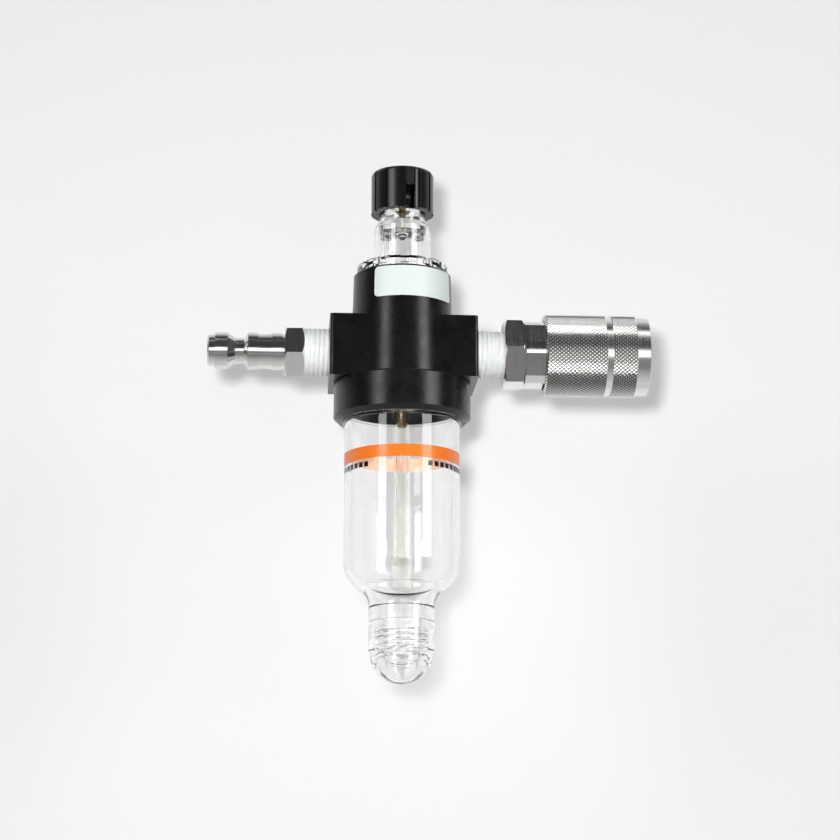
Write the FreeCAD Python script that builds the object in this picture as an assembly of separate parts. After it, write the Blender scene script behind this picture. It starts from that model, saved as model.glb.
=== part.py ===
import FreeCAD
import Part
import math
import os

from FreeCAD import Vector

# Inline air oiler for a compressed air line, in millimetres.
# The air line runs along X, from the plug on the left to the coupler on the right.
# The origin lies on that line, at the front shoulder of the plug's nose collar.
# Z points up, so the sight dome stands on top and the bowl hangs below.

# Clearances
SLIP = 0.05            # radial gap of a shaft or thread in its hole
SEAT = 0.02            # gap between faces that rest on each other
LOOSE = 0.3            # gap round a piece that moves freely

# Inlet plug, measured along the air line from the origin
NOSE_TIP_LENGTH = 2.3
NOSE_TIP_RADIUS = 4.75
NOSE_TIP_CHAMFER = 0.5
NOSE_RADIUS = 5.5
NOSE_COLLAR_LENGTH = 3.7
LOCK_GROOVE_RADIUS = 3.8
LOCK_GROOVE_ENTRY = 2.4     # sloping flank in front of the groove's floor
LOCK_GROOVE_FLOOR = 2.5
LOCK_GROOVE_EXIT = 1.2      # steep flank behind the groove's floor
SHANK_RADIUS = 5.55
SHANK_COLLAR_LENGTH = 3.0
SHANK_BAND_RADIUS = 5.15
SHANK_BAND_LENGTH = 4.2
SHANK_NECK_LENGTH = 0.7
PLUG_BORE_RADIUS = 3.0
PLUG_HEX_FLATS = 14.29      # nine sixteenths of an inch
PLUG_HEX_LENGTH = 5.9
PLUG_HEX_TURN = -15.0       # degrees from the front, a corner looks forward and down
HEX_CHAMFER_SHARE = 0.6     # length of a hexagon's chamfer for its depth

# Pipe thread, one quarter inch, shared by both fittings
THREAD_RADIUS = 6.6
THREAD_ENGAGED = 9.5        # length screwed into a port
TAPE_THICKNESS = 0.6
INLET_THREAD_SHOWN = 7.4
OUTLET_THREAD_SHOWN = 8.3

# Body casting
PORT_SPAN = 44.0            # from the inlet port's face to the outlet port's face
EAR_TOP = 9.0
EAR_BOTTOM = -9.84
EAR_DEPTH_TOP = 24.1
EAR_DEPTH_BOTTOM = 25.3
EAR_CORNER = 1.0
TOWER_TOP = 24.0
TOWER_TOP_RADIUS = 14.68
TOWER_FOOT_RADIUS = 15.6
TOWER_RIM_ROUND = 0.5
SKIRT_TOP = -9.5
SKIRT_RADIUS = 20.47
SKIRT_SIDE_HEIGHT = 10.6
SKIRT_CHAMFER = 1.4
SKIRT_WALL = 2.47
SKIRT_RIM_WIDTH = 0.9       # flat end of the skirt, inside its chamfer
SKIRT_TOP_CHAMFER = 0.6
SKIRT_ROOF = -12.6          # ceiling of the hollow that takes the bowl's rim
AIR_BORE_RADIUS = 4.6
TOWER_BORE_RADIUS = 11.5
RING_SEAT_WIDTH = 1.3       # ledge round the tower's bore for the dome's ring seal
RING_SEAT_DEPTH = 1.6
TOWER_FLOOR = 11.0
FUNNEL_RADIUS = 7.0
FUNNEL_DEPTH = 2.2
DRIP_HOLE_RADIUS = 1.2
OIL_DUCT_RADIUS = 0.9
OIL_DUCT_OFFSET = 8.6       # the duct passes behind the air passage
OIL_DUCT_TOP = 7.8
BOWL_VENT_RADIUS = 0.7
BOWL_VENT_OFFSET = 10.8     # upstream of the throat
SIPHON_BOSS_RADIUS = 6.4
SIPHON_BOSS_DROP = 3.4

# Venturi insert
VENTURI_LENGTH = 18.0
VENTURI_MOUTH_RADIUS = 4.0
VENTURI_THROAT_RADIUS = 2.3
VENTURI_THROAT_LENGTH = 3.0

# Sight dome
DOME_FLANGE_RADIUS = 13.7
DOME_FLANGE_THICKNESS = 3.0
DOME_FLANGE_CHAMFER = 0.5
DOME_NOTCHES = 12
DOME_NOTCH_WIDTH = 2.4
DOME_NOTCH_DEPTH = 1.1
DOME_NOTCH_FLOOR = 0.8          # flange left whole under the notches
DOME_RADIUS = 8.8
DOME_DRAFT = 0.2                # the drum is this much slimmer at its top
DOME_BORE_RADIUS = 7.2
DOME_SHOULDER_HEIGHT = 14.4     # top of the drum above the tower's rim
DOME_BEVEL_RADIUS = 7.7
DOME_BEVEL_HEIGHT = 1.7
DOME_NECK_RADIUS = 7.0
DOME_NECK_BORE_RADIUS = 5.5
DOME_NECK_HEIGHT = 26.0         # top of the neck above the tower's rim
DOME_SPIGOT_DEPTH = 9.5
DOME_WEB_THICKNESS = 6.0        # closed end of the neck, which holds the screw's thread
DOME_ROOF_DROP = 0.4            # roof of the drum's room below the foot of the neck
NECK_BEAD_STAND = 0.4
NECK_BEAD_HEIGHT = 1.0
NECK_BEAD_LEVEL = 22.6          # above the tower's rim

# Drip nozzle insert
NOZZLE_DISC_RADIUS = 7.1
NOZZLE_DISC_THICKNESS = 2.4
NOZZLE_TIP_DROP = 4.1           # tip below the disc's top
NOZZLE_ROOT_RADIUS = 1.9
NOZZLE_TIP_RADIUS = 0.8
NOZZLE_ORIFICE_RADIUS = 0.4
NOZZLE_SEAT_RADIUS = 1.4
NOZZLE_SEAT_HEIGHT = 1.2
NOZZLE_SEAT_RISE = 0.8          # orifice end of the seat above the disc
NOZZLE_WELL_RADIUS = 2.5
NOZZLE_FOOT_OFFSET = 4.8
NOZZLE_FOOT_RADIUS = 1.8
NOZZLE_FOOT_DROP = 1.7          # feet below the disc's underside
NOZZLE_GALLERY_RISE = 0.7       # cross passage above the seat's top

# Oil riser tube
RISER_RADIUS = 1.1
RISER_BORE_RADIUS = 0.6
RISER_SOCKET_DEPTH = 1.0        # how far the tube goes past the disc's underside

# Metering screw
SCREW_RADIUS = 2.4
SCREW_STEM_RADIUS = 1.2
SCREW_NEEDLE_RADIUS = 1.1
SCREW_TIP_RADIUS = 0.25
SCREW_TIP_GAP = 0.35            # needle's tip above the orifice when the screw is home
SCREW_GLAND_LENGTH = 1.3
SCREW_COLLAR_LENGTH = 0.7
SCREW_CONE_LENGTH = 1.6
SCREW_DRIVE_FLATS = 2.9
SCREW_DRIVE_LENGTH = 4.6
SCREW_LIFT = 1.05               # one and a half turns of a 0.7 mm pitch

# Adjusting knob
KNOB_RADIUS = 9.5
KNOB_BOTTOM = 19.6              # above the tower's rim
KNOB_HEIGHT = 13.1
KNOB_TOP_EDGE = 1.2             # two steps of chamfer soften the top's edge
KNOB_LOBES = 12
KNOB_GROOVE_WIDTH = 0.9
KNOB_GROOVE_DEPTH = 0.55
KNOB_BORE_RADIUS = 7.75
KNOB_LIP_RADIUS = 7.15
KNOB_LIP_HEIGHT = 1.6
KNOB_LIP_SLOPE = 0.6
KNOB_ROOF_THICKNESS = 2.2
KNOB_HUB_RADIUS = 3.4
KNOB_WINDOW_ANGLE = 12.5        # degrees to the right of the front
KNOB_WINDOW_WIDTH = 3.0
KNOB_WINDOW_HEIGHT = 7.4
KNOB_PANEL_DEPTH = 0.7

# Label wrapped round the tower
LABEL_BOTTOM = 14.0
LABEL_TOP = 23.3
LABEL_START = -36.5             # degrees from the front, towards the outlet
LABEL_END = 66.6
LABEL_THICKNESS = 0.18
LABEL_CORNER = 1.3

# Siphon parts
SIPHON_THREAD_RADIUS = 3.4
SIPHON_THREAD_LENGTH = 5.0
SIPHON_FLANGE_FLATS = 10.0
SIPHON_FLANGE_THICKNESS = 2.4
SIPHON_BARB_RADIUS = 1.5
SIPHON_BARB_LENGTH = 6.0
SIPHON_BARB_TAPER = 0.2
SIPHON_BARB_TAPER_LENGTH = 1.0
SIPHON_OIL_HOLE_RADIUS = 0.7
SIPHON_TUBE_RADIUS = 2.3
SIPHON_TUBE_LENGTH = 46.0
FILTER_RADIUS = 3.2
FILTER_LENGTH = 6.0
FILTER_SOCKET_DEPTH = 2.5
FILTER_EDGE = 0.6
FILTER_FLOOR = 2.4
BALL_CHAMBER_RADIUS = 1.35
CHECK_BALL_RADIUS = 1.19        # three thirty-seconds of an inch across
CHECK_BALL_TRAVEL = 0.8
BALL_SEAT_DROP = 1.2            # wide end of the ball's seat below the boss's face
BALL_SEAT_DEPTH = 0.6
BALL_RETAINER_THICKNESS = 1.2
RETAINER_SLOT_WIDTH = 0.6
RETAINER_RIM = 0.3              # left whole round the retainer's slot

# Bowl
BOWL_RIM = -13.2                # top of the bowl inside the skirt
BOWL_THREAD_BOTTOM = -22.2
BOWL_THREAD_STAND = 0.75        # thread proud of the bowl's side
BOWL_WALL = 2.4
BOWL_SIDE_END = -64.0           # the shoulder starts here
SHOULDER_BEND = 9.0             # radius of the shoulder's outer bend
SHOULDER_ANGLE = 62.0           # degrees that the shoulder turns before it bends back
BOSS_RADIUS = 9.75
BOSS_DOME_RADIUS = 9.4
BOSS_DOME_LEVEL = -90.1         # centre of the boss's round end
WELL_LEDGE_LEVEL = -76.8
WELL_LEDGE_RADIUS = 6.4
WELL_STEP_LEVEL = -81.0
WELL_THREAD_RADIUS = 5.4
WELL_THREAD_END = -92.6
WELL_DOME_RADIUS = 4.6

# Bowl ring seal
BOWL_RING_WIDTH = 1.9
BOWL_RING_HEIGHT = 1.7
BOWL_RING_LEVEL = 1.1           # groove below the bowl's rim

# Coupler body, measured along the air line
COUPLER_HEX_FLATS = 19.05       # three quarters of an inch
COUPLER_HEX_TURN = 0.0          # degrees from the front, a corner looks straight forward
COUPLER_HEX_LENGTH = 6.3
COUPLER_TURNED_LENGTH = 9.0
COUPLER_TURNED_RADIUS = 10.15
COUPLER_NOSE_RADIUS = 7.9
COUPLER_PASSAGE_RADIUS = 3.9
CHAMBER_RADIUS = 5.9
SOCKET_RADIUS = 5.65
SOCKET_LEAD_IN = 0.6
SOCKET_GUIDE_LENGTH = 4.0       # close bore at the mouth that guides a mating plug
SOCKET_RELIEF = 0.2             # the bore is wider by this from the balls to the seal
SOCKET_MOUTH = 128.8            # front face of the coupler body
SEAL_GROOVE_RADIUS = 7.0
SEAL_WIDTH = 3.0
SEAL_LIP_RADIUS = 4.7
SEAL_LIP_CHAMFER = 0.4
SEAL_FROM_BALLS = 6.7           # seal's front face behind the balls' centres
CHAMBER_LENGTH = 15.3           # valve chamber behind the seal

# Locking balls
BALL_COUNT = 4
BALL_RADIUS = 1.984             # five thirty-seconds of an inch across
BALL_FROM_MOUTH = 6.8
BALL_REST_RADIUS = 6.38
BALL_TRAVEL = 1.25

# Coupler sleeve
SLEEVE_RADIUS = 12.35
SLEEVE_BORE_RADIUS = 10.45
SLEEVE_REAR_LENGTH = 18.1       # first knurled band
SLEEVE_GROOVE_LENGTH = 1.9
SLEEVE_GROOVE_RADIUS = 11.9
SLEEVE_FRONT_LENGTH = 7.2       # second knurled band
SLEEVE_LIP_RADIUS = 11.8
SLEEVE_LIP_LENGTH = 4.1
SLEEVE_EDGE = 0.5
SLEEVE_TRAVEL = 4.0
SLEEVE_REAR_GAP = 2.0           # between the pulled-back sleeve and the hexagon
SLEEVE_LAND_LENGTH = 1.9
SLEEVE_RAMP_TOP_RADIUS = 9.7

# Sleeve stop ring and springs
STOP_RING_THICKNESS = 1.2
STOP_RING_GROOVE_DEPTH = 0.6
SLEEVE_SPRING_WIRE = 1.0
SLEEVE_SPRING_TURNS = 4
VALVE_SPRING_WIRE = 0.7
VALVE_SPRING_TURNS = 4
VALVE_SPRING_RADIUS = 4.5       # to the middle of its wire

# Outlet valve poppet
POPPET_HEAD_GAP = 0.2           # radial, in the valve chamber
POPPET_HEAD_LENGTH = 3.4
POPPET_SEAT_LAND = 1.0          # full round left at the head's front face
POPPET_STEM_RADIUS = 3.9
POPPET_STEM_BEYOND_SEAL = 0.8
POPPET_STEM_EDGE = 0.4
POPPET_SLOT_WIDTH = 2.2
POPPET_SLOT_START = 0.6         # uncut stem in front of the head
POPPET_GUIDE_FLAT = 4.6         # distance of each guide flat from the middle
POPPET_TRAVEL = 2.6

# Places along the air line that follow from those sizes
GROOVE_FLOOR_START = NOSE_COLLAR_LENGTH + LOCK_GROOVE_ENTRY
GROOVE_FLOOR_END = GROOVE_FLOOR_START + LOCK_GROOVE_FLOOR
SHANK_START = GROOVE_FLOOR_END + LOCK_GROOVE_EXIT
BAND_START = SHANK_START + SHANK_COLLAR_LENGTH
BAND_END = BAND_START + SHANK_BAND_LENGTH
SHANK_END = BAND_END + SHANK_COLLAR_LENGTH
PLUG_HEX_START = SHANK_END + SHANK_NECK_LENGTH
PLUG_HEX_END = PLUG_HEX_START + PLUG_HEX_LENGTH
INLET_FACE = PLUG_HEX_END + INLET_THREAD_SHOWN
AXIS_X = INLET_FACE + PORT_SPAN / 2
OUTLET_FACE = INLET_FACE + PORT_SPAN
COUPLER_HEX_START = OUTLET_FACE + OUTLET_THREAD_SHOWN
COUPLER_HEX_END = COUPLER_HEX_START + COUPLER_HEX_LENGTH
COUPLER_SHOULDER = COUPLER_HEX_END + COUPLER_TURNED_LENGTH
BALL_X = SOCKET_MOUTH - BALL_FROM_MOUTH
GUIDE_BACK = SOCKET_MOUTH - SOCKET_LEAD_IN - SOCKET_GUIDE_LENGTH
SEAL_FRONT = BALL_X - SEAL_FROM_BALLS
SEAL_BACK = SEAL_FRONT - SEAL_WIDTH
CHAMBER_BACK = SEAL_BACK - CHAMBER_LENGTH
SLEEVE_BACK = COUPLER_HEX_END + SLEEVE_TRAVEL + SLEEVE_REAR_GAP
SLEEVE_BAND_END = SLEEVE_BACK + SLEEVE_REAR_LENGTH
SLEEVE_GROOVE_END = SLEEVE_BAND_END + SLEEVE_GROOVE_LENGTH
SLEEVE_LIP_START = SLEEVE_GROOVE_END + SLEEVE_FRONT_LENGTH
SLEEVE_FRONT = SLEEVE_LIP_START + SLEEVE_LIP_LENGTH

# The ramp inside the sleeve lets each ball out evenly as the sleeve goes back.
RAMP_SLOPE = BALL_TRAVEL / SLEEVE_TRAVEL
RAMP_ANGLE = math.atan(RAMP_SLOPE)
RAMP_TOUCH_X = BALL_X - BALL_RADIUS * math.sin(RAMP_ANGLE)
RAMP_TOUCH_RADIUS = BALL_REST_RADIUS + (BALL_RADIUS + SLIP) * math.cos(RAMP_ANGLE)
LAND_RADIUS = COUPLER_NOSE_RADIUS + 2 * SLIP
RAMP_START = RAMP_TOUCH_X - (RAMP_TOUCH_RADIUS - LAND_RADIUS) / RAMP_SLOPE
RAMP_END = RAMP_TOUCH_X + (SLEEVE_RAMP_TOP_RADIUS - RAMP_TOUCH_RADIUS) / RAMP_SLOPE
LAND_BACK = RAMP_START - SLEEVE_LAND_LENGTH
STOP_RING_BACK = RAMP_END + SEAT
STOP_RING_FRONT = STOP_RING_BACK + STOP_RING_THICKNESS
STOP_RING_BORE = COUPLER_NOSE_RADIUS - STOP_RING_GROOVE_DEPTH + SEAT

# Levels and radii about the bowl's axis that follow from those sizes
SKIRT_SIDE_END = SKIRT_TOP - SKIRT_SIDE_HEIGHT
SKIRT_RIM = SKIRT_SIDE_END - SKIRT_CHAMFER
SKIRT_BORE_RADIUS = SKIRT_RADIUS - SKIRT_WALL
BOWL_THREAD_RADIUS = SKIRT_BORE_RADIUS - SLIP
BOWL_RADIUS = BOWL_THREAD_RADIUS - BOWL_THREAD_STAND
SIPHON_BOSS_FACE = SKIRT_ROOF - SIPHON_BOSS_DROP
DOME_FLANGE_TOP = TOWER_TOP + DOME_FLANGE_THICKNESS
DOME_SHOULDER = TOWER_TOP + DOME_SHOULDER_HEIGHT
DOME_NECK_FOOT = DOME_SHOULDER + DOME_BEVEL_HEIGHT
DOME_NECK_TOP = TOWER_TOP + DOME_NECK_HEIGHT
DOME_WEB_BOTTOM = DOME_NECK_TOP - DOME_WEB_THICKNESS
DOME_ROOF = DOME_NECK_FOOT - DOME_ROOF_DROP
NOZZLE_DISC_BOTTOM = DOME_ROOF - SEAT - NOZZLE_DISC_THICKNESS
NOZZLE_FOOT_END = NOZZLE_DISC_BOTTOM - NOZZLE_FOOT_DROP
NOZZLE_SEAT_LEVEL = DOME_ROOF + NOZZLE_SEAT_RISE
NOZZLE_SEAT_TOP = NOZZLE_SEAT_LEVEL + NOZZLE_SEAT_HEIGHT
NOZZLE_GALLERY_LEVEL = NOZZLE_SEAT_TOP + NOZZLE_GALLERY_RISE
RISER_TOP = NOZZLE_DISC_BOTTOM + RISER_SOCKET_DEPTH
NECK_BEAD_BOTTOM = TOWER_TOP + NECK_BEAD_LEVEL
KNOB_FOOT = TOWER_TOP + KNOB_BOTTOM
KNOB_TOP = KNOB_FOOT + KNOB_HEIGHT
KNOB_ROOF = KNOB_TOP - KNOB_ROOF_THICKNESS
SCREW_GLAND_TOP = DOME_WEB_BOTTOM + SCREW_COLLAR_LENGTH + SCREW_GLAND_LENGTH
SCREW_THREAD_TOP = DOME_NECK_TOP - SCREW_LIFT
SCREW_DRIVE_TOP = SCREW_THREAD_TOP + SCREW_DRIVE_LENGTH
BOWL_GROOVE_TOP = BOWL_RIM - BOWL_RING_LEVEL
BOWL_GROOVE_BOTTOM = BOWL_GROOVE_TOP - BOWL_RING_HEIGHT
BOWL_GROOVE_RADIUS = SKIRT_BORE_RADIUS - BOWL_RING_WIDTH


def outline_face(outline, place):
    """Flat face inside a closed outline of corners; (middle, end) pairs stand for arcs."""
    edges = []
    start = outline[0]
    for step in outline[1:] + [outline[0]]:
        if isinstance(step[0], tuple):
            middle, end = step
            edges.append(Part.Arc(place(*start), place(*middle), place(*end)).toShape())
        else:
            end = step
            if place(*start).distanceToPoint(place(*end)) > 1e-6:
                edges.append(Part.LineSegment(place(*start), place(*end)).toShape())
        start = end
    return Part.Face(Part.Wire(edges))


def turned_along_air(outline):
    """Solid of revolution about the air line; corners are (along, radius)."""
    face = outline_face(outline, lambda along, radius: Vector(along, 0, radius))
    return face.revolve(Vector(0, 0, 0), Vector(1, 0, 0), 360)


def turned_upright(outline):
    """Solid of revolution about the bowl's axis; corners are (radius, level)."""
    face = outline_face(outline, lambda radius, level: Vector(AXIS_X + radius, 0, level))
    return face.revolve(Vector(AXIS_X, 0, 0), Vector(0, 0, 1), 360)


OVERSHOOT = 1.0             # cutting shapes run past the faces they cut by this


def rod_along_air(radius, start, end):
    return Part.makeCylinder(radius, end - start, Vector(start, 0, 0), Vector(1, 0, 0))


def rod_upright(radius, bottom, top, x=AXIS_X, y=0.0):
    return Part.makeCylinder(radius, top - bottom, Vector(x, y, bottom))


def hexagonal_bar(flats, start, end, turn):
    """Six-sided bar along the air line; a turn of zero puts a corner to the front."""
    corner = flats / math.sqrt(3)
    points = []
    for side in range(7):
        angle = math.radians(60 * side + turn)
        points.append(Vector(start, -corner * math.cos(angle), corner * math.sin(angle)))
    return Part.Face(Part.makePolygon(points)).extrude(Vector(end - start, 0, 0))


def hexagonal_post(flats, bottom, top):
    """Upright six-sided bar on the bowl's axis."""
    corner = flats / math.sqrt(3)
    points = []
    for side in range(7):
        angle = math.radians(60 * side)
        points.append(Vector(AXIS_X + corner * math.cos(angle), corner * math.sin(angle), bottom))
    return Part.Face(Part.makePolygon(points)).extrude(Vector(0, 0, top - bottom))


def spanner_hexagon(flats, start, end, turn):
    """Hexagon with its corners chamfered at both ends."""
    corner = flats / math.sqrt(3)
    inner = flats / 2
    drop = (corner - inner) * HEX_CHAMFER_SHARE
    envelope = turned_along_air([
        (start, 0), (start, inner), (start + drop, corner),
        (end - drop, corner), (end, inner), (end, 0)])
    return hexagonal_bar(flats, start, end, turn).common(envelope)


def about_bowl(shape, degrees):
    """Copy turned about the bowl's axis, where zero faces the front."""
    turned = shape.copy()
    turned.rotate(Vector(AXIS_X, 0, 0), Vector(0, 0, 1), degrees)
    return turned


def about_air(shape, degrees):
    turned = shape.copy()
    turned.rotate(Vector(0, 0, 0), Vector(1, 0, 0), degrees)
    return turned


def inlet_plug():
    """Quick-connect plug with a lock groove, a hexagon and a pipe thread."""
    tip = NOSE_TIP_CHAMFER
    body = turned_along_air([
        (-NOSE_TIP_LENGTH, PLUG_BORE_RADIUS + tip),
        (-NOSE_TIP_LENGTH, NOSE_TIP_RADIUS - tip),
        (-NOSE_TIP_LENGTH + tip, NOSE_TIP_RADIUS),
        (0, NOSE_TIP_RADIUS),
        (0, NOSE_RADIUS),
        (NOSE_COLLAR_LENGTH, NOSE_RADIUS),
        (GROOVE_FLOOR_START, LOCK_GROOVE_RADIUS),
        (GROOVE_FLOOR_END, LOCK_GROOVE_RADIUS),
        (SHANK_START, SHANK_RADIUS),
        (BAND_START, SHANK_RADIUS),
        (BAND_START, SHANK_BAND_RADIUS),
        (BAND_END, SHANK_BAND_RADIUS),
        (BAND_END, SHANK_RADIUS),
        (SHANK_END, SHANK_RADIUS),
        (SHANK_END, SHANK_BAND_RADIUS),
        (PLUG_HEX_START, SHANK_BAND_RADIUS),
        (PLUG_HEX_START, THREAD_RADIUS),
        (INLET_FACE + THREAD_ENGAGED, THREAD_RADIUS),
        (INLET_FACE + THREAD_ENGAGED, PLUG_BORE_RADIUS),
        (-NOSE_TIP_LENGTH + tip, PLUG_BORE_RADIUS)])
    hexagon = spanner_hexagon(PLUG_HEX_FLATS, PLUG_HEX_START, PLUG_HEX_END, PLUG_HEX_TURN)
    hexagon = hexagon.cut(rod_along_air(THREAD_RADIUS - SLIP, PLUG_HEX_START, PLUG_HEX_END))
    return body.fuse(hexagon).removeSplitter()


def thread_tape(start, end):
    """Sealing tape wound over the part of a thread that stays outside its port."""
    tube = rod_along_air(THREAD_RADIUS + SEAT + TAPE_THICKNESS, start + SEAT, end - SEAT)
    return tube.cut(rod_along_air(THREAD_RADIUS + SEAT, start, end))


def rounded_rectangle(length, depth, level):
    """Wire of a rectangle about the bowl's axis with round corners, at one level."""
    reach_x = length / 2 - EAR_CORNER
    reach_y = depth / 2 - EAR_CORNER
    edges = []
    sides = []
    for side_x, side_y, turn in ((1, 1, 0), (-1, 1, 90), (-1, -1, 180), (1, -1, 270)):
        middle = Vector(AXIS_X + side_x * reach_x, side_y * reach_y, level)
        start, bulge, end = [
            middle + Vector(EAR_CORNER * math.cos(angle), EAR_CORNER * math.sin(angle), 0)
            for angle in (math.radians(turn), math.radians(turn + 45), math.radians(turn + 90))]
        if sides:
            edges.append(Part.LineSegment(sides[-1], start).toShape())
        edges.append(Part.Arc(start, bulge, end).toShape())
        sides += [start, end]
    edges.append(Part.LineSegment(sides[-1], sides[0]).toShape())
    return Part.Wire(edges)


def ear_block():
    """Both port ears as one block that tapers upwards."""
    return Part.makeLoft([
        rounded_rectangle(PORT_SPAN, EAR_DEPTH_BOTTOM, EAR_BOTTOM),
        rounded_rectangle(PORT_SPAN, EAR_DEPTH_TOP, EAR_TOP)], True, True)


def body_casting():
    """Die casting with a tower for the dome, two ports and a skirt for the bowl."""
    tower_edge = TOWER_RIM_ROUND
    shell = turned_upright([
        (0, TOWER_TOP),
        (TOWER_TOP_RADIUS - tower_edge, TOWER_TOP),
        (TOWER_TOP_RADIUS, TOWER_TOP - tower_edge),
        (TOWER_FOOT_RADIUS, SKIRT_TOP),
        (SKIRT_RADIUS - SKIRT_TOP_CHAMFER, SKIRT_TOP),
        (SKIRT_RADIUS, SKIRT_TOP - SKIRT_TOP_CHAMFER),
        (SKIRT_RADIUS, SKIRT_SIDE_END),
        (SKIRT_BORE_RADIUS + SKIRT_RIM_WIDTH, SKIRT_RIM),
        (0, SKIRT_RIM)])
    casting = shell.fuse(ear_block())

    ring_seat_radius = TOWER_BORE_RADIUS + RING_SEAT_WIDTH
    tower_room = turned_upright([
        (0, TOWER_TOP + OVERSHOOT),
        (ring_seat_radius, TOWER_TOP + OVERSHOOT),
        (ring_seat_radius, TOWER_TOP - RING_SEAT_DEPTH),
        (TOWER_BORE_RADIUS, TOWER_TOP - RING_SEAT_DEPTH),
        (TOWER_BORE_RADIUS, TOWER_FLOOR),
        (FUNNEL_RADIUS, TOWER_FLOOR),
        (DRIP_HOLE_RADIUS, TOWER_FLOOR - FUNNEL_DEPTH),
        (0, TOWER_FLOOR - FUNNEL_DEPTH)])
    bowl_room = turned_upright([
        (0, SKIRT_RIM - OVERSHOOT),
        (SKIRT_BORE_RADIUS, SKIRT_RIM - OVERSHOOT),
        (SKIRT_BORE_RADIUS, SKIRT_ROOF),
        (SIPHON_BOSS_RADIUS, SKIRT_ROOF),
        (SIPHON_BOSS_RADIUS, SIPHON_BOSS_FACE),
        (0, SIPHON_BOSS_FACE)])
    port_depth = THREAD_ENGAGED + LOOSE
    port_radius = THREAD_RADIUS + SLIP
    duct_foot = SIPHON_BOSS_FACE + SIPHON_THREAD_LENGTH + LOOSE
    duct_level = duct_foot + OIL_DUCT_RADIUS
    across = Vector(0, 1, 0)
    riser_x = AXIS_X - NOZZLE_FOOT_OFFSET
    duct_slant = Vector(-NOZZLE_FOOT_OFFSET, -OIL_DUCT_OFFSET, 0)
    hollows = [
        tower_room,
        bowl_room,
        rod_along_air(port_radius, INLET_FACE - OVERSHOOT, INLET_FACE + port_depth),
        rod_along_air(port_radius, OUTLET_FACE - port_depth, OUTLET_FACE + OVERSHOOT),
        rod_along_air(AIR_BORE_RADIUS, INLET_FACE, OUTLET_FACE),
        rod_upright(DRIP_HOLE_RADIUS, 0, TOWER_FLOOR),
        rod_upright(SIPHON_THREAD_RADIUS + SLIP, SIPHON_BOSS_FACE - OVERSHOOT, duct_foot),
        rod_upright(OIL_DUCT_RADIUS, duct_foot - LOOSE, duct_level),
        Part.makeCylinder(OIL_DUCT_RADIUS, OIL_DUCT_OFFSET, Vector(AXIS_X, 0, duct_level), across),
        rod_upright(OIL_DUCT_RADIUS, duct_level, OIL_DUCT_TOP, AXIS_X, OIL_DUCT_OFFSET),
        Part.makeCylinder(
            OIL_DUCT_RADIUS, duct_slant.Length, Vector(AXIS_X, OIL_DUCT_OFFSET, OIL_DUCT_TOP), duct_slant),
        rod_upright(RISER_RADIUS + SEAT, OIL_DUCT_TOP, TOWER_FLOOR, riser_x),
        rod_upright(BOWL_VENT_RADIUS, SKIRT_ROOF - OVERSHOOT, 0, AXIS_X - BOWL_VENT_OFFSET)]
    for hollow in hollows:
        casting = casting.cut(hollow)
    return casting


def venturi_insert():
    """Sleeve that narrows the air passage to a throat under the drip hole."""
    middle = AXIS_X
    half = VENTURI_LENGTH / 2
    throat = VENTURI_THROAT_LENGTH / 2
    outer = AIR_BORE_RADIUS - SEAT
    sleeve = turned_along_air([
        (middle - half, VENTURI_MOUTH_RADIUS),
        (middle - half, outer),
        (middle + half, outer),
        (middle + half, VENTURI_MOUTH_RADIUS),
        (middle + throat, VENTURI_THROAT_RADIUS),
        (middle - throat, VENTURI_THROAT_RADIUS)])
    return sleeve.cut(rod_upright(DRIP_HOLE_RADIUS, 0, AIR_BORE_RADIUS))


def sight_dome():
    """Clear dome that screws into the tower and carries the metering screw."""
    spigot_end = TOWER_TOP - DOME_SPIGOT_DEPTH
    spigot = TOWER_BORE_RADIUS - SLIP
    bead = DOME_NECK_RADIUS + NECK_BEAD_STAND
    bead_top = NECK_BEAD_BOTTOM + NECK_BEAD_HEIGHT
    screw_hole = SCREW_RADIUS + SLIP
    dome = turned_upright([
        (DOME_BORE_RADIUS, spigot_end),
        (spigot, spigot_end),
        (spigot, TOWER_TOP + SEAT),
        (DOME_FLANGE_RADIUS, TOWER_TOP + SEAT),
        (DOME_FLANGE_RADIUS, DOME_FLANGE_TOP - DOME_FLANGE_CHAMFER),
        (DOME_FLANGE_RADIUS - DOME_FLANGE_CHAMFER, DOME_FLANGE_TOP),
        (DOME_RADIUS, DOME_FLANGE_TOP),
        (DOME_RADIUS - DOME_DRAFT, DOME_SHOULDER),
        (DOME_BEVEL_RADIUS, DOME_NECK_FOOT),
        (DOME_NECK_RADIUS, DOME_NECK_FOOT),
        (DOME_NECK_RADIUS, NECK_BEAD_BOTTOM),
        (bead, NECK_BEAD_BOTTOM),
        (DOME_NECK_RADIUS, bead_top),
        (DOME_NECK_RADIUS, DOME_NECK_TOP),
        (screw_hole, DOME_NECK_TOP),
        (screw_hole, DOME_WEB_BOTTOM),
        (DOME_NECK_BORE_RADIUS, DOME_WEB_BOTTOM),
        (DOME_NECK_BORE_RADIUS, DOME_ROOF),
        (DOME_BORE_RADIUS, DOME_ROOF)])
    notch_foot = TOWER_TOP + DOME_NOTCH_FLOOR
    notch = Part.makeBox(
        DOME_NOTCH_WIDTH, DOME_NOTCH_DEPTH * 2, DOME_FLANGE_THICKNESS,
        Vector(AXIS_X - DOME_NOTCH_WIDTH / 2, -DOME_FLANGE_RADIUS - DOME_NOTCH_DEPTH, notch_foot))
    for index in range(DOME_NOTCHES):
        dome = dome.cut(about_bowl(notch, index * 360 / DOME_NOTCHES))
    return dome


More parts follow.
